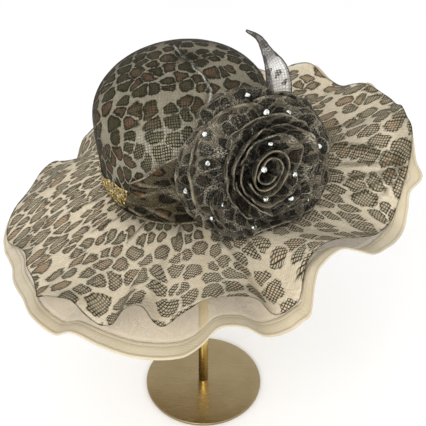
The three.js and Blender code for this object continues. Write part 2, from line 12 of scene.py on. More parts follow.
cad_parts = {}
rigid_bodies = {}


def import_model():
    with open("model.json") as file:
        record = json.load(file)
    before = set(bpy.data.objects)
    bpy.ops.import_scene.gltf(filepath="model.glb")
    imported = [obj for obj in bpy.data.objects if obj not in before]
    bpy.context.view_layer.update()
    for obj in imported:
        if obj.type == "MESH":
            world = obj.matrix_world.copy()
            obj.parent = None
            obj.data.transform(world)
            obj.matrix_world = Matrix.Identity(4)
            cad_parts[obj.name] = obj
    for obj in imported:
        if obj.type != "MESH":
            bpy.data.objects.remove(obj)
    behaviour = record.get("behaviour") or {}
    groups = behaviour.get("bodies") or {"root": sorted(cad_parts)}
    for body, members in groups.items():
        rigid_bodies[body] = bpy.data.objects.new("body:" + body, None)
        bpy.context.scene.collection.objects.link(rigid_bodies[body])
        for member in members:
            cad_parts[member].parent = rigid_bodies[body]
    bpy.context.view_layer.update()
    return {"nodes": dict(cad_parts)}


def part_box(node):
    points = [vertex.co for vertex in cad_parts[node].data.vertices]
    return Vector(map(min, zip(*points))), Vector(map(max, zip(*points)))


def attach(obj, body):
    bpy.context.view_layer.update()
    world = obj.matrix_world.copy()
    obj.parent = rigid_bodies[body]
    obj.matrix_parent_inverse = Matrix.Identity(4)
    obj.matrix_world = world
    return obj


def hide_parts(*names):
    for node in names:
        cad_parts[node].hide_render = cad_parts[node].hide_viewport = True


bl_info = {
    "name": "Wide-brim sun hat",
    "version": (1, 0, 0),
    "blender": (4, 5, 0),
    "location": "3D View > Sidebar > Sun hat",
    "description": "Builds a sheer spotted sun hat with a cloth rose on its stand",
    "category": "Object",
}

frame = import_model()
MM = 0.001

# Half the crown's size across and deep, its height, where its side turns over, how far it leans for each
# millimetre of height, how far its side flares, and the power of its round top.
CROWN_ACROSS, CROWN_DEEP, CROWN_HEIGHT, CROWN_SIDE = 86, 93, 125, 74
CROWN_LEAN = np.array((0.057, 0.03))
CROWN_FLARE, CROWN_POWER = 0.044, 2.23

# The crown's usual radius, how far its cloth's middle lies outside its size, and how far the sash reaches.
CROWN_RADIUS, CROWN_OFFSET, CROWN_DRESS = 90, -0.7, 5.3

# Foot of the glitter band and of the sash on the crown, and the solid sash's first and last azimuth.
BAND_FOOT, SASH_FOOT, SASH_START, SASH_END = 6, 6.5, 226, 334

# Thickness of the cloth of the crown, the glitter band, the sash and the rose, and of a sequin.
CROWN_THICK, BAND_THICK, SASH_THICK, ROSE_THICK = 0.6 * MM, 0.5 * MM, 0.4 * MM, 0.3 * MM
SEQUIN_THICK = 0.12 * MM
SEQUIN_COUNT, STONE_COUNT = 1500, 17

# Azimuth where the brim's print is joined at the back, and the radius at which it has its own width.
PRINT_JOIN, PRINT_RADIUS = 80, 164

# Least gap from the plain layer's height to the printed layer's, and how softly the two heights meet.
LAYER_GAP, LAYER_BLEND = 3, 3

# How far the printed cloth's middle lies over its layer's height and the plain cloth's under its own, and
# the height over the printed layer from which the rose's clearance is counted.
PRINTED_LIFT, PLAIN_DROP, PRINTED_TOP = 1.2, 0.65, 1.3

# How far the rose's cups are drawn in at the left and in height, the farthest that a petal's points are moved
# out, and how often that distance is halved to find the least one.
ROSE_LEFT, ROSE_UP, ROSE_SHIFT, SHIFT_HALVINGS = 0.93, 0.9, 64.0, 11

# Azimuth, reach from the crown's middle and height over its base, along the printed layer's edge.
PRINTED_RIM = np.array([
    (7, 231, 42), (16, 229, 36), (22, 226, 31), (27, 225, 22), (33, 226, 8), (40, 227, 8),
    (46, 228, 17), (52, 228, 8), (60, 228, -12), (72, 228, -8), (84, 226, -27), (96, 222, -32),
    (108, 217, -51), (118, 214, -52), (127, 212, -63), (133, 208, -72), (139, 199, -88),
    (143, 201, -84), (147, 207, -72), (154, 208, -69), (162, 206, -72), (175, 208, -68),
    (185, 208, -66), (193, 203, -62), (201, 192, -50), (209, 187, -40), (218, 195, -28),
    (226, 202, -17), (232, 213, -5), (237, 225, 15), (241, 225, 24), (247, 225, 29),
    (250, 227, 18), (253, 228, 9), (256, 228, 13), (259, 225, 31), (263, 224, 35),
    (265, 227, 20), (267, 228, 15), (271, 226, 28), (276, 223, 38), (282, 223, 37),
    (287, 225, 27), (290, 228, 6), (293, 228, 1), (296, 227, 4), (297, 226, 14),
    (298, 223, 34), (300, 219, 45), (305, 217, 50), (310, 219, 44), (314, 221, 35),
    (321, 223, 17), (327, 223, 0), (332, 225, -10), (337, 227, -6), (342, 229, 8),
    (347, 232, 24), (352, 233, 42), (359, 228, 57),
], float)

# The same along the outer edge of the plain layer's hem.
PLAIN_RIM = np.array([
    (7, 232, 35), (16, 233, 30), (22, 234, 32), (27, 236, 20), (33, 238, 0), (40, 239, 0),
    (46, 240, 10), (52, 240, 0), (60, 240, -20), (72, 240, -15), (84, 238, -35), (96, 234, -40),
    (108, 228, -60), (118, 225, -60), (127, 222, -72), (133, 217, -79), (139, 207, -94),
    (143, 209, -90), (147, 216, -78), (154, 215, -78), (162, 213, -82), (168, 212, -80),
    (175, 215, -76), (185, 215, -74), (193, 211, -68), (201, 206, -53), (209, 205, -42),
    (217, 212, -30), (224, 218, -18), (230, 225, -6), (237, 238, 2), (243, 241, -4),
    (248, 241, 8), (254, 242, 0), (261, 243, -8), (270, 243, -7), (274, 243, 6),
    (278, 241, 24), (283, 241, 18), (287, 242, 0), (292, 242, -4), (295, 242, 2),
    (297, 242, 8), (298, 238, 32), (300, 233, 47), (306, 231, 52), (311, 234, 38),
    (316, 237, 20), (322, 238, 8), (328, 238, -5), (334, 239, -10), (338, 238, 0),
    (341, 237, 12), (344, 246, 21), (347, 239, 30), (355, 233, 52),
], float)

# Azimuth, half width and rise of folds that are deepest half way out on the brim.
BRIM_FOLDS = ((148, 14, -16),)

# Curled places of the printed rim that show dark: azimuth, half width and share of the brim at their start.
RIM_CURLS = (
    (284, 7, 0.84), (245, 4, 0.88), (261, 4.5, 0.88), (204, 7, 0.86), (349, 4, 0.9), (357, 3, 0.92),
    (322, 6, 0.93),
)

# Sharp pinched folds of the printed layer: azimuth and radius of each end, and half width.
PINCHES = (
    (2, 138, 351, 205, 2.4), (346, 230, 341, 168, 2.6), (346, 230, 335, 178, 2.4),
    (346.5, 230, 348, 160, 2.6), (347, 230, 354, 172, 2.4), (345, 230, 337, 206, 2.2),
    (12, 132, 6, 190, 2.4), (22, 128, 25, 170, 2.4), (350, 128, 344, 170, 2.6),
    (334, 126, 326, 168, 2.6), (318, 124, 309, 172, 2.6), (300, 118, 294, 160, 2.4),
    (284, 100, 286, 150, 2.2), (270, 98, 268, 132, 2.2), (250, 96, 247, 134, 2.2),
    (236, 95, 228, 138, 2.2), (214, 94, 205, 140, 2.2), (193, 94, 188, 138, 2.2),
)

# Azimuth and height of the sash's upper edge.
SASH_TOP = np.array([
    (233, 40), (241, 52), (250, 63), (261, 80), (273, 89), (290, 92), (306, 80), (320, 56), (334, 30),
], float)

# Loose folds that cross the sash: azimuth and share of its height, at each end.
SASH_FOLDS = (
    (234, 0.55, 266, 0.04), (244, 0.95, 278, 0.30), (240, 0.60, 256, 0.62), (258, 0.62, 288, 0.10),
    (235, 0.25, 250, 0.02),
)

# The tuck in the crown's cloth, caught at the fourth place near its top, as azimuth and height.
CROWN_TUCK = (
    (99.5, 121.2), (94, 123.5), (78.5, 124.1), (23.5, 124.1), (342, 124), (316.5, 123.5), (314.5, 122),
    (308.5, 120), (307, 117.5), (301, 115), (294.5, 112), (290.5, 109),
)

# Level, rim radius, rim depth, root radius, root depth and lean to the right of the rose's nested cups.
ROSE_CUPS = np.array([
    (0, 76, 14, 9, 0, 0), (1, 67, 26, 9, 5, 0), (2, 47, 37, 8.5, 10, 9), (3, 38, 45, 8, 15, 8),
    (4, 29, 51, 7, 20, 2), (5, 20, 54, 6, 25, -3), (6, 11, 56, 5, 30, -5), (7, 4, 57, 2, 35, -6),
], float)

# Level, middle angle, span and paleness of the lip of each petal.
PETALS = (
    (0, 178, 92, 0.4), (0, 102, 76, 0.2), (0, 28, 82, 0.15), (0, 318, 80, 0.15), (0, 250, 78, 0.2),
    (1, 150, 140, 0.9), (1, 24, 124, 0.3), (1, 264, 118, 0.12),
    (2, 80, 130, 0.15), (2, 200, 130, 0.3), (2, 320, 130, 0.3),
    (3, 20, 132, 0.3), (3, 140, 132, 0.4), (3, 260, 132, 0.3),
    (4, 70, 190, 0.3), (4, 250, 190, 0.5),
)

# Right, up, out and half width along the leaf's mid line, in the rose's directions.
LEAF_LINE = np.array([
    (18, 15, -5, 3), (31, 34, -6, 7), (39, 57, -6, 11), (39.5, 72, -7, 12.2), (37.5, 84, -7, 10.6),
    (31.5, 98, -7, 5.6), (24.5, 112, -7, 2.6), (13, 120, -7, 0.8),
], float)

HAT_PLACE = (
    Matrix.Translation((-22, 16, 314))
    @ Matrix.Rotation(math.radians(-4), 4, "Y") @ Matrix.Rotation(math.radians(10), 4, "X")
)
ROSE_PLACE = (
    Matrix.Translation((43, -71, 363))
    @ Matrix.Rotation(math.radians(20), 4, "Z") @ Matrix.Rotation(math.radians(70), 4, "X")
)


def colour(name, text, value):
    return FloatVectorProperty(name=name, description=text, default=value, subtype="COLOR", min=0, max=1)


def length(name, text, millimetres):
    return FloatProperty(name=name, description=text, default=millimetres * MM, unit="LENGTH", precision=4)


class HatCloth(bpy.types.PropertyGroup):
    """Colours and print of the sheer cloth"""

    ground: colour("Ground", "Cream of the brim's print between its spots", (0.80, 0.70, 0.52))
    spot: colour("Spot", "Brown of the brim's spots", (0.15, 0.112, 0.052))
    outline: colour("Spot edge", "Darker edge of the brim's spots", (0.028, 0.022, 0.007))
    rust: colour("Rust", "Warm middle of some spots", (0.35, 0.19, 0.10))
    dark_ground: colour("Dark ground", "Net between the crown's spots", (0.235, 0.21, 0.155))
    dark_spot: colour("Dark spot", "Brown of the crown's spots", (0.028, 0.022, 0.007))
    dark_outline: colour("Dark spot edge", "Edge of the crown's spots", (0.005, 0.0045, 0.001))
    cream: colour("Cream", "Plain cream layer and hem", (0.76, 0.65, 0.47))
    cell: length("Spot size", "Usual distance from one spot to the next", 14.0)
    mesh: length("Mesh pitch", "Distance between the threads of the stiffening mesh", 2.7)


class HatBrim(bpy.types.PropertyGroup):
    """Fineness and small waves of the brim"""

    around: IntProperty(name="Columns", description="Columns of faces round the brim", default=640, min=60)
    outward: IntProperty(name="Rows", description="Rows of faces from crown to rim", default=30, min=6)
    gather: length("Gathers", "Height of the small folds at the crown", 1.1)
    thickness: length("Thickness", "Thickness of one layer of cloth", 0.5)
    hem_width: length("Hem width", "Width of the stiff hem", 15.0)


class HatRose(bpy.types.PropertyGroup):
    """Shape of the rose's petals"""

    crease: length("Creases", "Height of the small folds in a petal", 1.2)
    fold: length("Fold radius", "Radius of the folded edge of a petal", 0.7)


class HatStage(bpy.types.PropertyGroup):
    """Light and camera"""

    key: FloatProperty(name="Key light", description="Power of the main light", default=9.0, unit="POWER")
    fill: FloatProperty(name="Fill light", description="Power of the front light", default=17.0, unit="POWER")
    sky: FloatProperty(name="Sky", description="Strength of the light from all round", default=1.0)
    focal: FloatProperty(name="Focal length", description="Focal length of the camera in mm", default=54.93)


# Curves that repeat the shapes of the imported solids.

def smooth_curve(at, value, place):
    """Reads a smooth curve through knots that run one past both ends, where its slope is to one neighbour."""
    index = np.clip(np.searchsorted(at, place, side="right") - 1, 1, len(at) - 3)
    start, end = value[index], value[index + 1]
    span = at[index + 1] - at[index]
    before = np.where(index == 1, 0, at[index] - at[index - 1])
    after = np.where(index == len(at) - 3, 0, at[index + 2] - at[index + 1])
    start_slope = (end - value[index - 1]) / (span + before) * span
    end_slope = (value[index + 2] - start) / (span + after) * span
    share = (place - at[index]) / span
    square, cube = share * share, share * share * share
    return ((2 * cube - 3 * square + 1) * start + (cube - 2 * square + share) * start_slope
            + (3 * square - 2 * cube) * end + (cube - square) * end_slope)


def around(rows, column, azimuth):
    """Reads a column of a table that goes right round, by azimuth."""
    at = np.concatenate([rows[-2:, 0] - 360, rows[:, 0], rows[:3, 0] + 360])
    value = np.concatenate([rows[-2:, column], rows[:, column], rows[:3, column]])
    return smooth_curve(at, value, rows[0, 0] + np.mod(azimuth - rows[0, 0], 360))


def along(rows, column, place):
    """Reads a column of a table that has two ends."""
    step = 1e-6
    at = np.concatenate([[rows[0, 0] - step], rows[:, 0], [rows[-1, 0] + step]])
    value = np.concatenate([rows[:1, column], rows[:, column], rows[-1:, column]])
    return smooth_curve(at, value, np.asarray(place, float))


def smooth_max(a, b, softness):
    return (a + b + np.hypot(a - b, softness)) / 2


def smooth_step(value, low, high):
    share = np.clip((value - low) / (high - low), 0, 1)
    return share * share * (3 - 2 * share)


def away_from(azimuth, middle):
    return np.mod(azimuth - middle + 180, 360) - 180


def bell(distance, width, power=2):
    """Falls from 1 to nearly 0 over about two widths."""
    return np.exp(-(distance / width) ** power)


def bell_at(azimuth, middle, width):
    return bell(away_from(azimuth, middle), width)


def oval_radius(azimuth, offset=0.0):
    angle = np.radians(azimuth)
    return 1 / np.hypot(np.cos(angle) / (CROWN_ACROSS + offset), np.sin(angle) / (CROWN_DEEP + offset))


def broad_height(rim, azimuth):
    """A rim's height without its short waves: the mean of seven places, eight degrees apart."""
    return sum(around(rim, 2, azimuth + step * 8.0) for step in range(-3, 4)) / 7


def fold_height(azimuth):
    total = np.zeros_like(azimuth)
    for middle, half_width, rise in BRIM_FOLDS:
        share = np.minimum(np.abs(away_from(azimuth, middle)) / half_width, 1)
        total = total + rise * np.cos(np.pi / 2 * share) ** 2
    return total


def layer_height(rim, azimuth, radius):
    start = oval_radius(azimuth)
    share = np.clip((radius - start) / (around(rim, 1, azimuth) - start), 0, 1)
    broad = broad_height(rim, azimuth)
    wave = around(rim, 2, azimuth) - broad
    return broad * share**1.3 + wave * share**2.3 + 4 * fold_height(azimuth) * share * (1 - share)


def plain_height(azimuth, radius):
    return layer_height(PLAIN_RIM, azimuth, radius)


def printed_height(azimuth, radius):
    own_height = layer_height(PRINTED_RIM, azimuth, radius)
    return smooth_max(own_height, plain_height(azimuth, radius) + LAYER_GAP, LAYER_BLEND)


def crown_scale(height, offset):
    side = 1 + CROWN_FLARE * np.sin(np.pi / 2 * np.minimum(height / CROWN_SIDE, 1))
    rise = np.clip((height - CROWN_SIDE) / (CROWN_HEIGHT + offset - CROWN_SIDE), 0, 1)
    return side * (1 - rise**CROWN_POWER) ** (1 / CROWN_POWER)


def crown_point(azimuth, height, offset):
    """A point on the crown, or on what lies the offset outside it."""
    level = np.clip(height, 0, CROWN_HEIGHT + offset)
    scale = crown_scale(level, offset)
    angle = np.radians(azimuth)
    return np.stack([
        (CROWN_ACROSS + offset) * scale * np.cos(angle) + CROWN_LEAN[0] * level,
        (CROWN_DEEP + offset) * scale * np.sin(angle) + CROWN_LEAN[1] * level,
        height + 0 * azimuth,
    ], -1)


def cup_point(level, angle, rise):
    """A point on the rose's cups, in the rose's own directions: right, up and out."""
    turn = np.pi / 2 * rise
    root = along(ROSE_CUPS, 3, level)
    root_depth = along(ROSE_CUPS, 4, level)
    radius = root + (along(ROSE_CUPS, 1, level) - root) * np.sin(turn)
    depth = root_depth + (along(ROSE_CUPS, 2, level) - root_depth) * (1 - np.cos(turn))
    right = radius * np.cos(np.radians(angle))
    right = np.where(right < 0, ROSE_LEFT * right, right) + along(ROSE_CUPS, 5, level) * (1 - np.cos(turn))
    return np.stack([right, ROSE_UP * radius * np.sin(np.radians(angle)), depth], -1)


def moved(points, matrix):
    """Points in millimetres, turned and moved by a matrix in millimetres."""
    turn = np.array(matrix.to_3x3())
    return points @ turn.T + np.array(matrix.translation)


def clears_crown(points, clearance):
    offset = CROWN_DRESS + clearance
    height = points[..., 2]
    across = (points[..., 0] - CROWN_LEAN[0] * height) / (CROWN_ACROSS + offset)
    deep = (points[..., 1] - CROWN_LEAN[1] * height) / (CROWN_DEEP + offset)
    above = height > CROWN_HEIGHT + offset
    return above | (np.hypot(across, deep) > crown_scale(np.maximum(height, 0), offset))


def rested(points, clearance):
    """Moves the rose's points out along its axis off the crown, and then up off the brim."""
    to_hat = HAT_PLACE.inverted() @ ROSE_PLACE
    axis = np.array((0, 0, 1.0))
    low = np.zeros(points.shape[:-1])
    high = np.where(clears_crown(moved(points, to_hat), clearance), 0.0, ROSE_SHIFT)
    for _ in range(SHIFT_HALVINGS):
        middle = (low + high) / 2
        clear = clears_crown(moved(points + middle[..., None] * axis, to_hat), clearance)
        high = np.where(clear, middle, high)
        low = np.where(clear, low, middle)
    in_hat = moved(points + high[..., None] * axis, to_hat)
    azimuth = np.degrees(np.arctan2(in_hat[..., 1], in_hat[..., 0]))
    floor = printed_height(azimuth, np.hypot(in_hat[..., 0], in_hat[..., 1])) + PRINTED_TOP + clearance
    in_hat[..., 2] = smooth_max(in_hat[..., 2], floor, 2)
    return moved(in_hat, to_hat.inverted())


# Meshes.

def grid_normals(points):
    normal = np.cross(np.gradient(points, axis=1), np.gradient(points, axis=0))
    return normal / np.maximum(np.linalg.norm(normal, axis=-1, keepdims=True), 1e-9)


def grid_faces(rows, columns, closed, closed_rows=False):
    """Four-sided faces between the points of a grid, round its columns and its rows where they close."""
    faces = []
    for row in range(rows if closed_rows else rows - 1):
        below = (row + 1) % rows
        for column in range(columns if closed else columns - 1):
            beside = (column + 1) % columns
            faces.append((row * columns + column, row * columns + beside,
                          below * columns + beside, below * columns + column))
    return faces


def make_piece(name, points, faces, material, values=None, smooth=True):
    """Makes a mesh object from points in world millimetres, with named values on its points."""
    mesh = bpy.data.meshes.new(name)
    mesh.from_pydata((np.asarray(points, float).reshape(-1, 3) * MM).tolist(), [], faces)
    for key, value in (values or {}).items():
        value = np.asarray(value, np.float32)
        if value.ndim > 1 and value.shape[-1] == 3:
            mesh.attributes.new(key, "FLOAT_VECTOR", "POINT").data.foreach_set("vector", value.reshape(-1))
        else:
            mesh.attributes.new(key, "FLOAT", "POINT").data.foreach_set("value", value.reshape(-1))
    mesh.validate()
    mesh.polygons.foreach_set("use_smooth", [smooth] * len(mesh.polygons))
    mesh.materials.append(bpy.data.materials[material])
    piece = bpy.data.objects.new(name, mesh)
    bpy.context.scene.collection.objects.link(piece)
    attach(piece, "root")
    return piece


def thicken(piece, thickness, offset=0.0):
    shell = piece.modifiers.new("Thickness", "SOLIDIFY")
    shell.thickness = thickness
    shell.offset = offset


def make_sheet(name, grid, place, material, values, thickness, closed=False):
    """A sheet of cloth from a grid of points in a place's own millimetres."""
    rows, columns = grid.shape[:2]
    values = dict(values)
    seamed = values.pop("print_at") if values["print_at"].shape[1] > columns else None
    piece = make_piece(name, moved(grid, place), grid_faces(rows, columns, closed), material, values)
    if seamed is not None:
        corners = np.stack([seamed[:-1, :-1], seamed[:-1, 1:], seamed[1:, 1:], seamed[1:, :-1]], 2)
        made = piece.data.attributes.new("print_at", "FLOAT_VECTOR", "CORNER")
        made.data.foreach_set("vector", corners.astype(np.float32).reshape(-1))
    thicken(piece, thickness)
    return piece


def ring_cap(first, sides):
    """The face over one ring of points, from the ring's first point on."""
    return tuple(range(first, first + sides))


def make_roll(name, path, radius, place, material, values, closed=False, sides=8):
    """A rolled edge or wire: a round section swept along a path of points."""
    path = np.asarray(path, float)
    forward = np.roll(path, -1, 0) - np.roll(path, 1, 0) if closed else np.gradient(path, axis=0)
    forward /= np.linalg.norm(forward, axis=1, keepdims=True)
    side = np.cross(forward, (0, 0, 1.0))
    side /= np.maximum(np.linalg.norm(side, axis=1, keepdims=True), 1e-6)
    up = np.cross(side, forward)
    size = np.broadcast_to(radius, len(path))
    rings = []
    for angle in np.arange(sides) * 2 * np.pi / sides:
        rings.append(path + size[:, None] * (math.cos(angle) * side + math.sin(angle) * up))
    grid = np.stack(rings, 1)
    faces = grid_faces(len(path), sides, True, closed)
    if not closed:
        faces += [ring_cap(0, sides)[::-1], ring_cap((len(path) - 1) * sides, sides)]
    spread = {key: np.repeat(np.asarray(value)[:, None], sides, 1) for key, value in values.items()}
    return make_piece(name, moved(grid, place), faces, material, spread)


def cloth_values(print_at, weave_at, edge=0.0, mesh_show=0.0, dark=0.0):
    """The values that the cloth materials read at each point."""
    shape = weave_at.shape[:-1]
    return {
        "print_at": print_at,
        "weave_at": weave_at,
        "edge": np.broadcast_to(edge, shape),
        "mesh_show": np.broadcast_to(mesh_show, shape),
        "dark": np.broadcast_to(dark, shape),
    }


def ripples(seed, count, low, high):
    """Makes a smooth random wave of several parts, the same on each run."""
    source = np.random.default_rng(seed)
    counts = source.integers(low, high, count)
    phases = source.uniform(0, 2 * np.pi, count)
    sizes = source.uniform(0.4, 1, count)

    def read(turn):
        parts = zip(counts, phases, sizes)
        return sum(size * np.sin(number * turn + phase) for number, phase, size in parts) / sizes.sum()
    return read


def outward_of(points):
    """Flat directions out from a place's own axis."""
    flat = points * np.array((1, 1, 0.0))
    return flat / np.linalg.norm(flat, axis=-1, keepdims=True)


# Materials.

class Shading:
    """Adds nodes to one tree. A call gives back the socket that the new node puts out."""

    def __init__(self, tree, end):
        self.tree = tree
        self.end = end

    def fill(self, made, inputs):
        """Sets or links a node's inputs. Colours are given without alpha."""
        for key, value in inputs.items():
            socket = made.inputs[key]
            if isinstance(value, bpy.types.NodeSocket):
                self.tree.links.new(value, socket)
            else:
                socket.default_value = (*value[:3], 1.0) if socket.type == "RGBA" else value
        return made

    def put(self, **values):
        """Sets or links the inputs of the tree's end node."""
        self.fill(self.end, {key.replace("_", " "): value for key, value in values.items()})

    def node(self, kind, inputs=None, **settings):
        made = self.tree.nodes.new(kind)
        for key, value in settings.items():
            setattr(made, key, value)
        return self.fill(made, inputs or {})

    def group(self, name, inputs):
        return self.node("ShaderNodeGroup", inputs, node_tree=bpy.data.node_groups[name]).outputs

    def maths(self, operation, a, b, c=0.0):
        return self.node("ShaderNodeMath", {0: a, 1: b, 2: c}, operation=operation).outputs[0]

    def plus(self, a, b):
        return self.maths("ADD", a, b)

    def minus(self, a, b):
        return self.maths("SUBTRACT", a, b)

    def times(self, a, b):
        return self.maths("MULTIPLY", a, b)

    def higher(self, a, b):
        return self.maths("MAXIMUM", a, b)

    def vector(self, operation, a, b):
        """Vector maths. To scale a vector, b is a number."""
        inputs = {0: a, 3 if operation == "SCALE" else 1: b}
        return self.node("ShaderNodeVectorMath", inputs, operation=operation).outputs[0]

    def between(self, value, low, high, start=0.0, end=1.0):
        """Goes smoothly from start to end as the value goes from low to high."""
        inputs = {"Value": value, "From Min": low, "From Max": high, "To Min": start, "To Max": end}
        return self.node("ShaderNodeMapRange", inputs, interpolation_type="SMOOTHSTEP").outputs["Result"]

    def mixed(self, factor, a, b):
        return self.node("ShaderNodeMix", {0: factor, 6: a, 7: b}, data_type="RGBA").outputs[2]

    def noise(self, place, scale, detail=2.0, roughness=0.5, output="Fac"):
        inputs = {"Vector": place, "Scale": scale, "Detail": detail, "Roughness": roughness}
        return self.node("ShaderNodeTexNoise", inputs).outputs[output]

    def chances(self, place, scale):
        """Three random values for each small cell."""
        cells = self.node("ShaderNodeTexVoronoi", {"Vector": place, "Scale": scale})
        return self.node("ShaderNodeSeparateColor", {0: cells.outputs["Color"]}).outputs

    def relief(self, height, strength, distance):
        bump = self.node("ShaderNodeBump", {"Height": height, "Strength": strength, "Distance": distance})
        self.put(Normal=bump.outputs["Normal"])

    def value_of(self, name, output="Fac"):
        return self.node("ShaderNodeAttribute", attribute_name=name).outputs[output]

    def object_place(self):
        return self.node("ShaderNodeTexCoord").outputs["Object"]


class Finish(Shading):
    """A new material, from its Principled shader's constants"""

    def __init__(self, name, **constants):
        self.material = bpy.data.materials.new(name)
        self.material.use_nodes = True
        tree = self.material.node_tree
        super().__init__(tree, tree.nodes["Principled BSDF"])
        self.put(**constants)


class SharedGroup(Shading):
    """A new shader group, from its inputs' defaults (none for a vector) and its outputs' kinds"""

    def __init__(self, name, inputs, outputs):
        tree = bpy.data.node_groups.new(name, "ShaderNodeTree")
        for label, default in inputs.items():
            kind = "Vector" if default is None else "Float" if isinstance(default, float) else "Color"
            made = tree.interface.new_socket(label, in_out="INPUT", socket_type="NodeSocket" + kind)
            if default is not None:
                made.default_value = default
        for label, kind in outputs.items():
            tree.interface.new_socket(label, in_out="OUTPUT", socket_type="NodeSocket" + kind)
        self.given = tree.nodes.new("NodeGroupInput").outputs
        super().__init__(tree, tree.nodes.new("NodeGroupOutput"))

    def scaled_place(self, size):
        return self.vector("SCALE", self.given["Place"], self.maths("DIVIDE", 1.0, self.given[size]))


def spotted_print():
    """Rounded spots with a darker edge and warm middles, on a pale net."""
    grey = (0.5, 0.5, 0.5, 1.0)
    draw = SharedGroup("Spotted print", {
        "Place": None, "Spot size": 0.015, "Net": 0.1, "Ground": grey, "Spot": grey, "Edge": grey,
        "Rust": grey, "Rust share": 0.2, "Middle": 0.3}, {"Color": "Color", "Spots": "Float"})
    given = draw.given
    place = draw.scaled_place("Spot size")
    shift = draw.vector("SUBTRACT", draw.noise(place, 0.9, output="Color"), (0.5, 0.5, 0.5))
    place = draw.vector("ADD", place, draw.vector("SCALE", shift, 0.8))
    scatter = {"Vector": place, "Scale": 1.0, "Randomness": 0.85}
    edges = draw.node("ShaderNodeTexVoronoi", scatter, voronoi_dimensions="2D", feature="DISTANCE_TO_EDGE")
    cells = draw.node("ShaderNodeTexVoronoi", scatter, voronoi_dimensions="2D")
    kind, warmth, depth = draw.node("ShaderNodeSeparateColor", {0: cells.outputs["Color"]}).outputs
    reach = draw.between(depth, 0.0, 1.0, 0.68, 0.50)
    oval = draw.times(draw.minus(reach, cells.outputs["Distance"]), 0.9)
    inside = draw.maths("SMOOTH_MIN", edges.outputs["Distance"], oval, 0.2)
    cloud = draw.noise(place, 3.2, 5.0, 0.65)
    ragged = draw.between(cloud, 0.3, 0.7, 0.05, -0.05)
    inside = draw.minus(draw.minus(inside, given["Net"]), ragged)
    spots = draw.between(inside, -0.03, 0.05)
    frayed = draw.plus(inside, draw.times(draw.minus(cloud, 0.5), 0.4))
    rim = draw.minus(1.0, draw.between(frayed, 0.05, 0.23))
    body = draw.mixed(draw.between(cloud, 0.35, 0.65, 0.0, 0.45), given["Spot"], given["Edge"])
    body = draw.mixed(draw.between(depth, 0.0, 1.0, 0.0, 0.5), body, given["Edge"])
    pale = draw.between(draw.plus(inside, draw.times(cloud, 0.15)), 0.14, 0.34)
    body = draw.mixed(draw.times(pale, given["Middle"]), body, given["Ground"])
    warm = draw.maths("LESS_THAN", kind, given["Rust share"])
    warm = draw.times(warm, draw.between(inside, 0.06, 0.26))
    warm = draw.times(warm, draw.between(cloud, 0.36, 0.6, 0.3, 1.0))
    warm = draw.times(warm, draw.between(warmth, 0.0, 1.0, 0.35, 0.9))
    body = draw.mixed(warm, body, given["Rust"])
    body = draw.mixed(draw.times(rim, 0.95), body, given["Edge"])
    ground = draw.mixed(draw.between(cloud, 0.35, 0.75, 0.0, 0.18), given["Ground"], given["Spot"])
    draw.put(Color=draw.mixed(spots, ground, body), Spots=spots)


def thread_grid():
    """Two sets of threads across each other, as a mask of the threads and a height."""
    draw = SharedGroup("Thread grid", {"Place": None, "Pitch": 0.0026, "Thread": 0.3},
                       {"Threads": "Float", "Height": "Float"})
    place = draw.scaled_place("Pitch")
    bend = draw.noise(place, 0.12, 1.0, output="Color")
    place = draw.vector("ADD", place, draw.vector("SCALE", bend, 3.0))
    axes = draw.node("ShaderNodeSeparateXYZ", {0: place}).outputs
    core = draw.times(draw.given["Thread"], 0.4)
    lines = []
    for axis in (0, 1):
        wave = draw.times(draw.maths("PINGPONG", axes[axis], 0.5), 2.0)
        lines.append(draw.minus(1.0, draw.between(wave, core, draw.given["Thread"])))
    draw.put(Threads=draw.higher(*lines), Height=draw.plus(lines[0], draw.times(lines[1], 0.7)))


def sheer_grain():
    """The fine uneven grain of organza, as a value round one half."""
    draw = SharedGroup("Sheer grain", {"Place": None, "Pitch": 0.0009}, {"Grain": "Float"})
    place = draw.scaled_place("Pitch")
    warp = draw.noise(draw.vector("MULTIPLY", place, (1.0, 0.12, 1.0)), 1.0)
    weft = draw.noise(draw.vector("MULTIPLY", place, (0.12, 1.0, 1.0)), 1.0)
    draw.put(Grain=draw.times(draw.plus(warp, weft), 0.5))


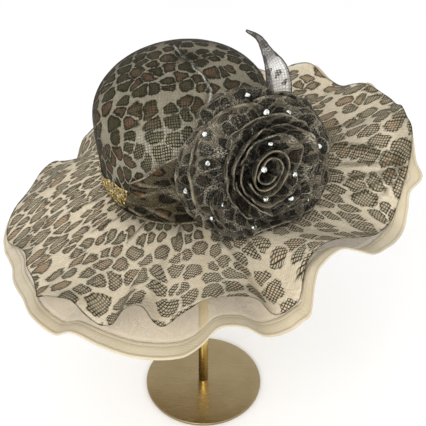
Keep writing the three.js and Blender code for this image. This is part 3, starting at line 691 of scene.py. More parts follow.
def printed_cloth(name, ground, spot, edge, rust, cell, net, opacity, rust_share=0.3, grain=0.15, fold=None,
                  fold_share=0.0, mesh_dark=0.85, clear=0.65, light=None, hole_light=0.4, net_threads=0.12,
                  middle=0.3, grazing=0.4):
    """Sheer printed cloth: spots, thread grid, grain with painted glints, and paler folded edges that are
    partly a painted highlight.
    """
    draw = Finish(name, Roughness=0.7, Specular_IOR_Level=0.08)
    light = light or ground
    weave_at = draw.value_of("weave_at", "Vector")
    dark, show, fold_edge_mask = (draw.value_of(key) for key in ("dark", "mesh_show", "edge"))
    pattern = draw.group("Spotted print", {
        "Place": draw.value_of("print_at", "Vector"), "Spot size": cell,
        "Net": draw.minus(net, draw.times(draw.value_of("grow"), 0.045)), "Ground": ground, "Spot": spot,
        "Edge": edge, "Rust": rust, "Rust share": rust_share, "Middle": middle})
    threads = draw.group("Thread grid", {
        "Place": weave_at, "Pitch": bpy.context.scene.hat_cloth.mesh, "Thread": 0.5})
    fine = draw.group("Sheer grain", {"Place": weave_at, "Pitch": 0.0009})["Grain"]

    shown = draw.times(threads["Threads"], show)
    shown = draw.times(shown, draw.between(pattern["Spots"], 0.0, 1.0, net_threads, 1.0))
    holes = draw.times(draw.minus(1.0, threads["Threads"]), show)
    shade = draw.mixed(draw.times(holes, hole_light), pattern["Color"], light)
    shade = draw.mixed(draw.times(shown, mesh_dark), shade, edge)
    # The dark value: on the brim's printed layer painted shade, and doubled cloth in the curled rim; painted
    # shade at the petals' roots and along the crown's tuck; the darker parts of the leaf and its wire.
    shade = draw.mixed(dark, shade, edge)

    # Light specks from the grain: painted glints of the threads, in patches and fewer on the spots.
    coarse = draw.plus(draw.times(draw.noise(weave_at, 620.0), 0.6), draw.times(fine, 0.4))
    glint = draw.between(coarse, 0.47, 0.56)
    patch = draw.between(draw.noise(weave_at, 60.0, 3.0), 0.42, 0.6, 0.2, 1.0)
    speck = draw.times(draw.times(glint, grain), patch)
    speck = draw.times(speck, draw.between(pattern["Spots"], 0.0, 1.0, 1.0, 0.35))
    shade = draw.mixed(speck, shade, light)
    # Fold colour in broken patches with glints along folded edges: pale doubled cloth and a painted highlight
    # on the petals' lips, a painted highlight along the crown's tuck, the dark wired edge on the leaf.
    if fold:
        fold_tone_patches = draw.between(draw.noise(weave_at, 45.0, 3.0), 0.35, 0.65, 0.0, 0.55)
        fold_tone_patches = draw.times(draw.plus(fold_tone_patches, draw.times(glint, 0.45)), fold_share)
        shade = draw.mixed(draw.times(fold_edge_mask, fold_tone_patches), shade, fold)
    slant = draw.node("ShaderNodeLayerWeight", {"Blend": 0.4}).outputs["Facing"]
    shade = draw.mixed(draw.between(slant, 0.45, 1.0, 0.0, grazing), shade, edge)

    solid = draw.between(fine, 0.3, 0.7, clear - 0.12, clear + 0.12)
    solid = draw.higher(solid, draw.times(pattern["Spots"], opacity))
    solid = draw.higher(solid, draw.times(draw.higher(shown, dark), 0.95))
    solid = draw.higher(solid, draw.times(fold_edge_mask, 0.97))
    draw.put(Base_Color=shade, Alpha=draw.maths("MINIMUM", solid, 1.0))
    draw.relief(draw.plus(draw.times(threads["Height"], 0.5), fine), 0.35, 0.0004)


def plain_cloth(name, base, opacity, deep, seam=(0.40, 0.335, 0.205)):
    """Plain sheer cloth with its grain, cloudy where it is doubled."""
    draw = Finish(name, Roughness=0.6, Sheen_Weight=0.2, Sheen_Roughness=0.4, Specular_IOR_Level=0.3)
    weave_at = draw.value_of("weave_at", "Vector")
    threads = draw.group("Thread grid", {
        "Place": weave_at, "Pitch": bpy.context.scene.hat_cloth.mesh * 0.6, "Thread": 0.6})
    fine = draw.group("Sheer grain", {"Place": weave_at, "Pitch": 0.0012})["Grain"]
    cloud = draw.noise(draw.value_of("print_at", "Vector"), 38.0, 3.0)
    shade = draw.mixed(draw.between(cloud, 0.35, 0.7, 0.0, 0.5), base, deep)
    shade = draw.mixed(draw.between(fine, 0.35, 0.65, 0.0, 0.5), shade, deep)
    shade = draw.mixed(draw.times(draw.value_of("edge"), 0.85), shade, seam)
    clear = draw.between(fine, 0.3, 0.7, opacity - 0.1, opacity + 0.08)
    draw.put(Base_Color=shade, Alpha=draw.maths("MINIMUM", clear, 1.0))
    draw.relief(draw.plus(draw.times(threads["Height"], 0.6), fine), 0.45, 0.0005)


def glitter_cloth():
    """Gold flecks of many tones, each with its own slant."""
    draw = Finish("gold_glitter", Metallic=0.85)
    tone, spark, gloss = draw.chances(draw.object_place(), 620.0)
    shade = draw.mixed(draw.between(tone, 0.2, 0.9), (0.11, 0.07, 0.018), (0.74, 0.54, 0.14))
    shade = draw.mixed(draw.between(spark, 0.8, 0.86), shade, (1.0, 0.93, 0.7))
    draw.put(Base_Color=shade, Roughness=draw.between(gloss, 0.0, 1.0, 0.15, 0.5))
    draw.relief(spark, 1.0, 0.0012)


def crystal():
    """Silvered cut glass, a little uneven in tone."""
    draw = Finish("cut_crystal", Metallic=1.0, Specular_IOR_Level=0.8)
    tone = draw.chances(draw.object_place(), 700.0)[0]
    draw.put(Base_Color=draw.mixed(draw.between(tone, 0.2, 0.8), (0.42, 0.45, 0.41), (0.93, 0.95, 0.91)),
             Roughness=draw.between(tone, 0.0, 1.0, 0.04, 0.14))


def stand_metal(name, base, dark, painted_reflection, roughness, stretch):
    """Brushed metal: long fine scratches, and a painted reflection where the piece's dark value says."""
    draw = Finish(name, Metallic=1.0)
    place = draw.object_place()
    drawn = draw.node("ShaderNodeMapping", {"Vector": place, "Scale": stretch}).outputs[0]
    lines = draw.noise(drawn, 1.0, 4.0)
    stain = draw.noise(place, 24.0, 4.0)
    shade = draw.mixed(draw.between(stain, 0.35, 0.75, 0.0, 0.3), base, dark)
    shade = draw.mixed(draw.between(lines, 0.3, 0.7, 0.0, 0.14), shade, dark)
    # Painted reflection: the dark value mixes in a darker colour.
    shade = draw.mixed(draw.value_of("dark"), shade, painted_reflection)
    draw.put(Base_Color=shade, Roughness=draw.between(lines, 0.3, 0.7, roughness - 0.03, roughness + 0.04))
    draw.relief(lines, 0.1, 0.0001)


def stand_plastic():
    """Matt moulded plastic with a fine grain."""
    draw = Finish("cap_plastic", Roughness=0.55)
    grain = draw.noise(draw.object_place(), 900.0, 3.0)
    draw.put(Base_Color=draw.mixed(draw.between(grain, 0.3, 0.7), (0.30, 0.25, 0.17), (0.42, 0.36, 0.26)))
    draw.relief(grain, 0.2, 0.0003)


def make_materials():
    """Builds the shared groups and every finish once."""
    spotted_print()
    thread_grid()
    sheer_grain()
    cloth = bpy.context.scene.hat_cloth
    printed_cloth("brim_print", cloth.ground, cloth.spot, cloth.outline, cloth.rust, cloth.cell * 0.95, 0.06,
                  0.92, rust_share=0.35, clear=0.6, middle=0.2, hole_light=0.6, mesh_dark=0.72)
    printed_cloth("crown_print", cloth.dark_ground, cloth.dark_spot, cloth.dark_outline,
                  (0.085, 0.042, 0.026), cloth.cell * 1.05, 0.025, 0.97, rust_share=0.5, clear=0.8,
                  net_threads=0.8, middle=0.04, grazing=0.85, grain=0.2, light=(0.50, 0.465, 0.31),
                  fold=(0.66, 0.65, 0.60), fold_share=1.1)
    printed_cloth("rose_print", (0.11, 0.093, 0.062), (0.013, 0.011, 0.007), (0.006, 0.006, 0.004),
                  (0.04, 0.022, 0.012), cloth.cell * 1.15, 0.05, 0.95, grain=0.9, fold=(0.36, 0.30, 0.205),
                  fold_share=0.9, clear=0.85, light=(0.42, 0.385, 0.31), hole_light=0.1, middle=0.05)
    printed_cloth("sash_print", (0.075, 0.062, 0.036), (0.016, 0.013, 0.008), (0.008, 0.007, 0.005),
                  (0.17, 0.085, 0.03), cloth.cell * 1.45, 0.06, 0.85, grain=0.3, fold=(0.36, 0.31, 0.22),
                  fold_share=0.95, clear=0.6, rust_share=0.6, middle=0.1)
    printed_cloth("leaf_print", (0.84, 0.82, 0.77), (0.14, 0.11, 0.09), (0.045, 0.038, 0.033), cloth.rust,
                  cloth.cell * 0.9, 0.2, 0.6, fold=(0.05, 0.042, 0.036), fold_share=1.2, clear=0.55,
                  net_threads=0.5, mesh_dark=0.8, grain=0.3)
    plain_cloth("plain_layer", cloth.cream, 0.6, (0.62, 0.51, 0.34))
    plain_cloth("plain_hem", (0.69, 0.595, 0.425), 0.88, (0.50, 0.42, 0.28))
    glitter_cloth()
    crystal()
    stand_metal("foot_metal", (0.345, 0.27, 0.15), (0.22, 0.17, 0.095), (0.1, 0.07, 0.04), 0.24,
                (40.0, 900.0, 900.0))
    stand_metal("pole_metal", (1.0, 0.78, 0.32), (0.72, 0.50, 0.17), (0.13, 0.07, 0.018), 0.2,
                (900.0, 900.0, 20.0))
    stand_plastic()


# The hat's pieces.

def brim_values(azimuth, radius, mesh_show=0.0, dark=0.0, edge=0.0):
    """Print and weave places on the brim: the print is drawn out along the radius and joined at the back."""
    angle = np.radians(azimuth)
    turn = np.radians(np.mod(azimuth - PRINT_JOIN, 360))
    print_at = np.stack([PRINT_RADIUS * turn + 12 * np.sin(2 * angle), radius * 0.6, 0 * radius], -1) * MM
    bias = angle + 0.6
    weave_at = np.stack([radius * np.cos(bias), radius * np.sin(bias), 0 * radius], -1) * MM
    return cloth_values(print_at, weave_at, edge, mesh_show, dark)


def brim_grid(inner, outer, rows, columns):
    """Azimuth, radius and share of the brim's width, on a grid that starts at the print's join."""
    azimuth = PRINT_JOIN + np.arange(columns) * 360.0 / columns
    share = np.linspace(0, 1, rows)[:, None]
    radius = inner(azimuth) + (outer(azimuth) - inner(azimuth)) * share
    return np.broadcast_to(azimuth, radius.shape), radius, np.broadcast_to(share, radius.shape)


def brim_points(azimuth, radius, height):
    angle = np.radians(azimuth)
    return np.stack([radius * np.cos(angle), radius * np.sin(angle), height], -1)


def printed_reach(azimuth):
    return around(PRINTED_RIM, 1, azimuth)


def plain_reach(azimuth):
    return around(PLAIN_RIM, 1, azimuth)


def hem_inner(azimuth):
    return plain_reach(azimuth) - bpy.context.scene.hat_brim.hem_width / MM


def pinched(azimuth, radius):
    """How far the printed layer is pinched up along its sharp folds, from 0 to 1."""
    angle = np.radians(azimuth)
    across, deep = radius * np.cos(angle), radius * np.sin(angle)
    total = np.zeros_like(across)
    for start_azimuth, start_radius, end_azimuth, end_radius, width in PINCHES:
        start = start_radius * np.exp(1j * math.radians(start_azimuth))
        line = end_radius * np.exp(1j * math.radians(end_azimuth)) - start
        place = (across + 1j * deep - start) * np.conj(line) / abs(line)
        share = place.real / abs(line)
        fade = smooth_step(share, -0.1, 0.25) * smooth_step(share, 1.1, 0.8)
        total = total + fade * bell(place.imag, width)
    return total


def printed_surface(azimuth, radius, share):
    """Height of the printed layer's middle, with its gathers and small flutter."""
    brim = bpy.context.scene.hat_brim
    turn = np.radians(azimuth)
    gather = ripples(3, 9, 40, 95)(turn) * np.exp(-5 * share) * smooth_step(share, 0.0, 0.06)
    flutter = ripples(5, 7, 26, 60)(turn + 0.3 * share) * share**3
    sag = ripples(8, 5, 9, 22)(turn) * np.sin(np.pi * share)
    pleat = ripples(9, 8, 18, 48)(turn + 0.15 * share) * np.sin(np.pi * share) ** 2
    small = brim.gather / MM * gather + 0.8 * flutter + 1.2 * sag + 1.3 * pleat
    small = smooth_max(small, -1.1, 0.6)
    return printed_height(azimuth, radius) + PRINTED_LIFT + small + 2.2 * pinched(azimuth, radius)


def printed_mesh_show(azimuth, radius):
    """How plainly the stiffening mesh shows through the printed layer: most at the front and the right."""
    near = np.maximum(bell_at(azimuth, 293, 40), 0.45 * bell_at(azimuth, 348, 22))
    return np.clip(0.3 + smooth_step(radius, 110, 160) * near, 0, 1)


def printed_dark(azimuth, radius, share):
    """Dark value of the printed layer: painted shade beside the crown, at the right and in its pinches, and
    doubled cloth in its curled rim.
    """
    dark = 0.75 * smooth_step(radius, 118, 92) * bell_at(azimuth, 262, 42)
    dark = dark + 0.22 * bell_at(azimuth, 0, 42) * smooth_step(radius, 240, 150)
    for middle, width, start in RIM_CURLS:
        dark = dark + 0.42 * bell_at(azimuth, middle, width) * smooth_step(share, start - 0.04, start + 0.05)
    return np.clip(dark + 0.6 * smooth_step(pinched(azimuth + 0.4, radius), 0.35, 0.9), 0, 0.9)


class HAT_OT_brim(bpy.types.Operator):
    """Make the printed layer, the plain layer and the hem of the brim"""

    bl_idname = "hat.brim"
    bl_label = "Brim"

    def execute(self, context):
        brim = context.scene.hat_brim
        self.make_printed_layer(brim)
        self.make_plain_layer(brim)
        make_hem(brim.around)
        return {"FINISHED"}

    def make_printed_layer(self, brim):
        azimuth, radius, share = brim_grid(
            lambda at: oval_radius(at, 1.2), printed_reach, brim.outward, brim.around)
        grid = brim_points(azimuth, radius, printed_surface(azimuth, radius, share))
        values = brim_values(azimuth, radius, printed_mesh_show(azimuth, radius),
                             printed_dark(azimuth, radius, share))
        values["grow"] = bell_at(azimuth, 0, 50) + 0.4 * bell_at(azimuth, 180, 60)
        print_at, width = values["print_at"], 2 * np.pi * PRINT_RADIUS * MM
        values["print_at"] = np.concatenate([print_at, print_at[:, :1] + np.array((width, 0, 0))], 1)
        printed = make_sheet("brim_printed_layer", grid, HAT_PLACE, "brim_print", values,
                             brim.thickness, closed=True)
        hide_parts("brim_upper")
        keys = {key: values[key][-1] for key in ("weave_at", "edge", "mesh_show")}
        keys["print_at"] = print_at[-1]
        keys["dark"] = 0.75 + 0.25 * ripples(17, 9, 20, 90)(np.radians(azimuth[-1]))
        roll = make_roll("brim_printed_edge", grid[-1] + np.array((0, 0, -0.1)), 0.55, HAT_PLACE,
                         "brim_print", keys, closed=True, sides=6)

    def make_plain_layer(self, brim):
        azimuth, radius, _ = brim_grid(
            lambda at: oval_radius(at, -4), hem_inner, brim.outward - 4, brim.around)
        grid = brim_points(azimuth, radius, plain_height(azimuth, radius) - PLAIN_DROP)
        plain = make_sheet("brim_plain_layer", grid, HAT_PLACE, "plain_layer",
                           brim_values(azimuth, radius), brim.thickness, closed=True)
        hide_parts("brim_lower")


# Share of the hem's width, half its thickness there, and how much of a seam shows.
HEM_SECTION = (
    (0.0, 0.5, 0.7), (0.03, 0.8, 0), (0.20, 0.85, 0), (0.24, 0.6, 1), (0.28, 0.85, 0), (0.50, 0.9, 0),
    (0.75, 0.9, 0), (0.82, 0.95, 0.8), (0.88, 1.5, 0), (0.94, 1.55, 0), (0.98, 1.2, 0), (1.0, 0.6, 0.5),
)


def make_hem(columns):
    """The doubled hem: a flat band with two stitched grooves and a rolled outer edge."""
    azimuth = np.arange(columns) * 360.0 / columns
    under = [(share, -height, seam) for share, height, seam in reversed(HEM_SECTION)]
    share, height, seam = np.array([*HEM_SECTION, *under])[:, :, None].transpose(1, 0, 2)
    radius = hem_inner(azimuth) + (plain_reach(azimuth) - hem_inner(azimuth)) * share
    lift = height * (1 + 0.12 * ripples(12, 9, 60, 140)(np.radians(azimuth)))
    azimuth = np.broadcast_to(azimuth, radius.shape)
    grid = brim_points(azimuth, radius, plain_height(azimuth, radius) + lift * 0.75 - 0.1)
    faces = grid_faces(len(grid), columns, True, True)
    hem = make_piece("brim_hem_band", moved(grid, HAT_PLACE), faces, "plain_hem",
                     brim_values(azimuth, radius, edge=seam))
    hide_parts("brim_hem")


def crown_arc(height):
    """Length along the crown from its top down to a height."""
    levels = CROWN_HEIGHT * np.sin(np.linspace(0, np.pi / 2, 400))
    steps = np.hypot(np.diff(levels), np.diff(CROWN_RADIUS * crown_scale(levels, 0)))
    climbed = np.concatenate([[0], np.cumsum(steps)])
    return np.interp(height, levels, climbed[-1] - climbed)


def crown_values(azimuth, height, **more):
    """The crown is one disc that is drawn down over a block, so its print is longest at the side."""
    angle = np.radians(azimuth)
    arc = crown_arc(height)
    flat = np.stack([arc * np.cos(angle), arc * np.sin(angle), 0 * arc], -1) * MM
    return cloth_values(0.9 * flat, flat, **more)


def line_distance(points, line):
    """Distance of each point from a line of corners."""
    start, run = line[:-1], np.diff(line, axis=0)
    share = ((points[..., None, :] - start) * run).sum(-1) / (run ** 2).sum(-1)
    nearest = start + np.clip(share, 0, 1)[..., None] * run
    return np.linalg.norm(points[..., None, :] - nearest, axis=-1).min(-1)


def crown_levels(side_rows, top_rows):
    """Heights of the crown cloth's rows, as (on the crown, on the cloth's own middle)."""
    side = np.linspace(1, CROWN_SIDE, side_rows)
    turn = np.linspace(0, 0.99, top_rows + 1)[1:] * np.pi / 2
    top = np.sin(turn) ** (2 / CROWN_POWER)
    rise = CROWN_HEIGHT - CROWN_SIDE
    return (np.concatenate([side, CROWN_SIDE + rise * top])[:, None],
            np.concatenate([side, CROWN_SIDE + (rise + CROWN_OFFSET) * top])[:, None])


class HAT_OT_crown(bpy.types.Operator):
    """Make the crown's stretched cloth with the tuck at its top"""

    bl_idname = "hat.crown"
    bl_label = "Crown"

    def execute(self, context):
        columns = 288
        azimuth = np.arange(columns) * 360.0 / columns
        azimuth, height, level = np.broadcast_arrays(azimuth, *crown_levels(18, 70))
        grid = crown_point(azimuth, level, CROWN_OFFSET)
        tuck = crown_point(*np.array(CROWN_TUCK, float).T, CROWN_OFFSET)
        near_tuck = line_distance(grid, tuck)
        caught = bell(np.linalg.norm(grid - tuck[3], axis=-1), 19, 4)
        wave = 0.5 * ripples(21, 6, 8, 24)(np.radians(azimuth)) * np.sin(height / 21)
        grid = grid + (wave * smooth_step(height, 124, 90))[..., None] * outward_of(grid)
        grid[..., 2] += 0.7 * bell(near_tuck, 1.3) - 0.5 * bell(near_tuck - 3.6, 1.8)
        # Along the tuck's ridge the edge value paints a pale highlight; the caught place and the hollow
        # beside the ridge get painted shade.
        values = crown_values(
            azimuth, height, edge=(1 - 0.7 * caught) * bell(near_tuck, 0.65),
            mesh_show=np.clip(0.07 + bell_at(azimuth, 264, 19) * bell(height - 86, 19), 0, 1),
            dark=np.clip(0.65 * caught + 0.5 * bell(near_tuck - 2.6, 1.6), 0, 0.85))
        faces = grid_faces(len(grid), columns, True) + [ring_cap((len(grid) - 1) * columns, columns)]
        crown = make_piece("crown_cloth", moved(grid, HAT_PLACE), faces, "crown_print", values)
        thicken(crown, CROWN_THICK)
        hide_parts("crown")
        return {"FINISHED"}


def band_top(azimuth):
    """Height of the glitter cloth's upper edge. The crown's cloth hangs lower at the left and the back."""
    return 19 + 15 * (smooth_step(azimuth, 198, 222) + smooth_step(azimuth, 120, 90))


class HAT_OT_band(bpy.types.Operator):
    """Make the glitter cloth round the crown, with its loose sequins"""

    bl_idname = "hat.band"
    bl_label = "Glitter band"

    def execute(self, context):
        columns, rows = 300, 14
        azimuth = np.arange(columns) * 360.0 / columns
        height = BAND_FOOT + np.linspace(0, 1, rows)[:, None] * (band_top(azimuth) - BAND_FOOT)
        azimuth, height = np.broadcast_arrays(azimuth, height)
        source = np.random.default_rng(40)
        rough = source.uniform(-0.35, 0.35, azimuth.shape)
        top = smooth_step(height, band_top(azimuth) - 8, band_top(azimuth))
        top = top * ripples(41, 6, 12, 40)(np.radians(azimuth))
        grid = crown_point(azimuth, height + 1.6 * top, 0.95 + rough)
        band = make_piece("glitter_band_cloth", moved(grid, HAT_PLACE), grid_faces(rows, columns, True),
                          "gold_glitter")
        thicken(band, BAND_THICK, -1)
        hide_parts("glitter_band")
        self.make_sequins(source, SEQUIN_COUNT)
        return {"FINISHED"}

    def make_sequins(self, source, count):
        """Six-sided sequins, each slanted its own way."""
        sides = 6
        turn = np.arange(sides)[:, None] * np.pi / 3
        points = []
        for _ in range(count):
            azimuth, share = source.uniform(0, 360), source.uniform(0, 1)
            height = 7 + share * (band_top(azimuth) - 7.5)
            middle = crown_point(np.array(azimuth), np.array(height), 1.55)
            out = middle - np.array((*(CROWN_LEAN * height), height))
            out = out / np.linalg.norm(out) + source.uniform(-0.45, 0.45, 3)
            out /= np.linalg.norm(out)
            side = np.cross(out, (0, 0, 1.0))
            side /= np.linalg.norm(side)
            size = source.uniform(0.7, 1.25)
            points.append(middle + size * (np.cos(turn) * side + np.sin(turn) * np.cross(side, out)))
        faces = [ring_cap(at * sides, sides) for at in range(count)]
        sequins = make_piece("glitter_sequins", moved(np.array(points), HAT_PLACE), faces,
                             "gold_glitter", smooth=False)
        thicken(sequins, SEQUIN_THICK, -1)


def sash_creases(azimuth, rise):
    """Where the sash's loose folds cross it, from 0 to 1. Places are taken as flat, in millimetres."""
    def flat(at, share):
        return at * 1.5 + 40j * share

    total = np.zeros_like(azimuth)
    for start_azimuth, start_rise, end_azimuth, end_rise in SASH_FOLDS:
        start = flat(start_azimuth, start_rise)
        line = flat(end_azimuth, end_rise) - start
        place = (flat(azimuth, rise) - start) * np.conj(line) / abs(line)
        share = place.real / abs(line)
        fade = smooth_step(share, -0.05, 0.1) * smooth_step(share, 1.05, 0.9)
        total = np.maximum(total, fade * bell(place.imag, 1.1))
    return total


def sash_share(azimuth):
    return (azimuth - SASH_START) / (SASH_END - SASH_START)


def sash_surface(azimuth, rise):
    """The sash's points: deep pleats that run along it and gather towards the rose."""
    height = SASH_FOOT + (along(SASH_TOP, 1, azimuth) - SASH_FOOT) * rise
    share = sash_share(azimuth)
    pleat = 1.7 * np.abs(np.sin(np.pi * 3 * rise + share))
    pleat = pleat + 0.6 * np.abs(np.sin(np.pi * 7 * rise - 4 * share))
    small = 0.35 * ripples(33, 6, 18, 40)(np.radians(azimuth) + rise) * np.sin(np.pi * rise)
    return crown_point(azimuth, height, 2.9 + pleat + small + 0.9 * sash_creases(azimuth, rise)), height


class HAT_OT_sash(bpy.types.Operator):
    """Make the sheer sash that is drawn across the crown to the rose"""

    bl_idname = "hat.sash"
    bl_label = "Sash"

    def execute(self, context):
        columns, rows = 220, 72
        rise = np.linspace(0, 1, rows)[:, None]
        start = 228 + 11 * rise
        azimuth = start + (SASH_END - start) * np.linspace(0, 1, columns)
        rise = np.broadcast_to(rise, azimuth.shape)
        grid, height = sash_surface(azimuth, rise)
        rim = np.minimum(rise, 1 - rise) * (along(SASH_TOP, 1, azimuth) - SASH_FOOT)
        flat = np.stack([np.radians(azimuth - SASH_START) * CROWN_RADIUS, height * 1.15, 0 * height], -1) * MM
        crease = np.abs(np.sin(np.pi * 3 * rise + sash_share(azimuth)))
        edge = np.maximum(0.9 * smooth_step(rim, 2.2, 0.6), 0.35 * smooth_step(crease, 0.16, 0.04))
        edge = np.maximum(edge, 0.8 * sash_creases(azimuth, rise))
        values = cloth_values(flat, flat, edge=edge)
        sash = make_sheet("sash_cloth", grid, HAT_PLACE, "sash_print", values, SASH_THICK)
        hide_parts("sash")
        for row, name in ((0, "sash_lower_fold"), (-1, "sash_upper_fold")):
            line = grid[row] + (grid[row] - crown_point(azimuth[row], height[row], 0)) * 0.12
            keys = {key: value[row] for key, value in values.items()}
            keys["edge"] = np.ones(columns)
            roll = make_roll(name, line, 0.75, HAT_PLACE, "sash_print", keys)
        return {"FINISHED"}


# The rose.

def oval_lean(level, angle, rise):
    """How far a lip is drawn out along the rose's long way, in millimetres."""
    return np.minimum(2.6, 0.4 + 0.65 * level) * rise * np.cos(2 * np.radians(angle - 50))


def petal_surface(level, middle, span, rows, columns, seed):
    """A petal's front face, with creases from its root to its lip."""
    crease_height = bpy.context.scene.hat_rose.crease / MM
    outer = level < 2
    rise, share = np.broadcast_arrays(np.linspace(0, 1, rows)[:, None], np.linspace(0, 1, columns)[None, :])
    side = 2 * share - 1
    leaning = level + 0.5 * (0.5 - share)
    points = cup_point(leaning, middle + span * side / 2, rise * (1 - 0.3 * np.abs(side) ** 3))
    outward = outward_of(points)
    keep = 1 - side * side
    lip = rise**6 * keep
    wave = 1.5 * rise * rise * keep * np.sin(3 * np.pi * share + level)
    crease = ripples(seed, 7, 5, 22)(share * np.pi + 0.4 * rise) * rise * np.sqrt(keep.clip(0, 1))
    dent = ripples(seed + 200, 5, 1, 7)(share * np.pi + 1.5 * rise)
    dent = dent * np.sin(np.pi * np.minimum(rise * 1.15, 1)) * keep
    kink = ripples(seed + 400, 6, 2, 10)(share * np.pi) * rise**4 * keep
    out = 3 * lip + oval_lean(level, middle + span * side / 2, rise)
    out = out + crease_height * (crease + (1.8 if outer else 0.8) * dent) + (2.6 if outer else 2.9) * kink
    points = points + outward * out[..., None]
    points[..., 2] += wave - 1.8 * lip + 2.1 * ripples(seed + 300, 5, 3, 12)(share * np.pi) * rise**3 * keep
    return rested(points, 3.4 + 3.8 * leaning)


def folded_edge(front, radius):
    """Adds the fold at a petal's lip and the cloth that goes down behind it, as (grid, rows in front)."""
    normal = grid_normals(front)
    inward = np.array((0, 0, 20.0)) - front[-1] * np.array((1, 1, 0))
    facing = normal * np.median(np.where((normal[-1] * inward).sum(-1) < 0, -1.0, 1.0))
    tip = front[-1] - front[-2]
    tip /= np.maximum(np.linalg.norm(tip, axis=-1, keepdims=True), 1e-6)
    centre = front[-1] - facing[-1] * radius
    rows = [front]
    for angle in np.radians((30, 60, 90, 120, 150)):
        rows.append((centre + radius * (math.cos(angle) * facing[-1] + math.sin(angle) * tip))[None])
    behind = (front - 2 * radius * facing)[int(len(front) * 0.68):]
    rows.append(behind[::-1])
    return np.concatenate(rows), len(front)


def sheet_size(grid):
    """The mean width and length of a grid of points, in metres."""
    across = np.linalg.norm(np.diff(grid, axis=1), axis=-1).sum(1).mean()
    deep = np.linalg.norm(np.diff(grid, axis=0), axis=-1).sum(0).mean()
    return across * MM, deep * MM


def petal_values(grid, front_rows, seed, band=1.4):
    """Print and weave places on a petal, with its pale lip (doubled cloth and a painted highlight), its light
    middle and painted shade at its root.
    """
    rows, columns = grid.shape[:2]
    row = np.arange(rows)[:, None]
    lip = np.exp(-np.maximum(np.abs(row - (front_rows + 2)) - 2.5, 0) / band)
    # The lip's pale colour, doubled cloth and a painted highlight, broken into patches along it.
    fold_tone_patches = 0.6 + 0.9 * ripples(seed + 500, 6, 3, 18)(np.linspace(0, np.pi, columns))
    ends = np.linspace(-1, 1, columns)[None, :] ** 2
    edge = np.maximum(lip * np.clip(fold_tone_patches, 0.15, 1.0), 0.8 * smooth_step(ends, 0.93, 1.0))
    width, depth = sheet_size(grid)
    across = np.linspace(0, width * 1.4, columns)
    across, down = np.broadcast_arrays(across, np.linspace(0, depth, rows)[:, None])
    flat = np.stack([across + 0.171 * seed, down + 0.093 * seed, 0 * across], -1)
    show = 0.5 * smooth_step(np.abs(row / rows - 0.55), 0.4, 0.1)
    # Painted shade at the petal's root, deep among the other petals.
    painted_root_shade = 0.9 * smooth_step(np.abs(row - front_rows) / front_rows, 0.3, 0.75)
    return cloth_values(flat, flat, edge, show, painted_root_shade)


class HAT_OT_rose(bpy.types.Operator):
    """Make the rose's petals and its wound bud, and finish the disc behind them"""

    bl_idname = "hat.rose"
    bl_label = "Rose"

    def execute(self, context):
        radius = context.scene.hat_rose.fold / MM
        for at, (level, middle, span, pale) in enumerate(PETALS):
            front = petal_surface(level, middle, span, 26, 49, 60 + at)
            grid, front_rows = folded_edge(front, radius * (1.5 if level < 2 else 1.0))
            values = petal_values(grid, front_rows, at, 0.8 + 2.6 * pale)
            values["edge"] = values["edge"] * pale
            petal = make_sheet(f"petal_{at + 1:02d}_cloth", grid, ROSE_PLACE, "rose_print", values,
                               ROSE_THICK)
            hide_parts(f"petal_{at + 1:02d}")
        self.make_bud(radius)
        finish_cad("rose_backing", "rose_print")
        return {"FINISHED"}

    def make_bud(self, radius):
        """One strip that is wound inwards a little over two turns."""
        rise, share = np.broadcast_arrays(np.linspace(0, 1, 20)[:, None], np.linspace(0, 1, 150)[None, :])
        level, angle = 4.9 + 1.5 * share, 200 + 360 * 2.3 * share
        wobble = 1.5 * ripples(90, 6, 3, 14)(share * 2 * np.pi) * rise + oval_lean(level, angle, rise)
        front = cup_point(level, angle, rise)
        grid, front_rows = folded_edge(front + outward_of(front) * wobble[..., None], radius * 0.8)
        bud = make_sheet("rose_bud_cloth", grid, ROSE_PLACE, "rose_print",
                         petal_values(grid, front_rows, 30), ROSE_THICK)
        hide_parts("rose_bud")


def finish_cad(node, material):
    """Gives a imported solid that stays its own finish."""
    mesh = frame["nodes"][node].data
    mesh.materials.clear()
    mesh.materials.append(bpy.data.materials[material])


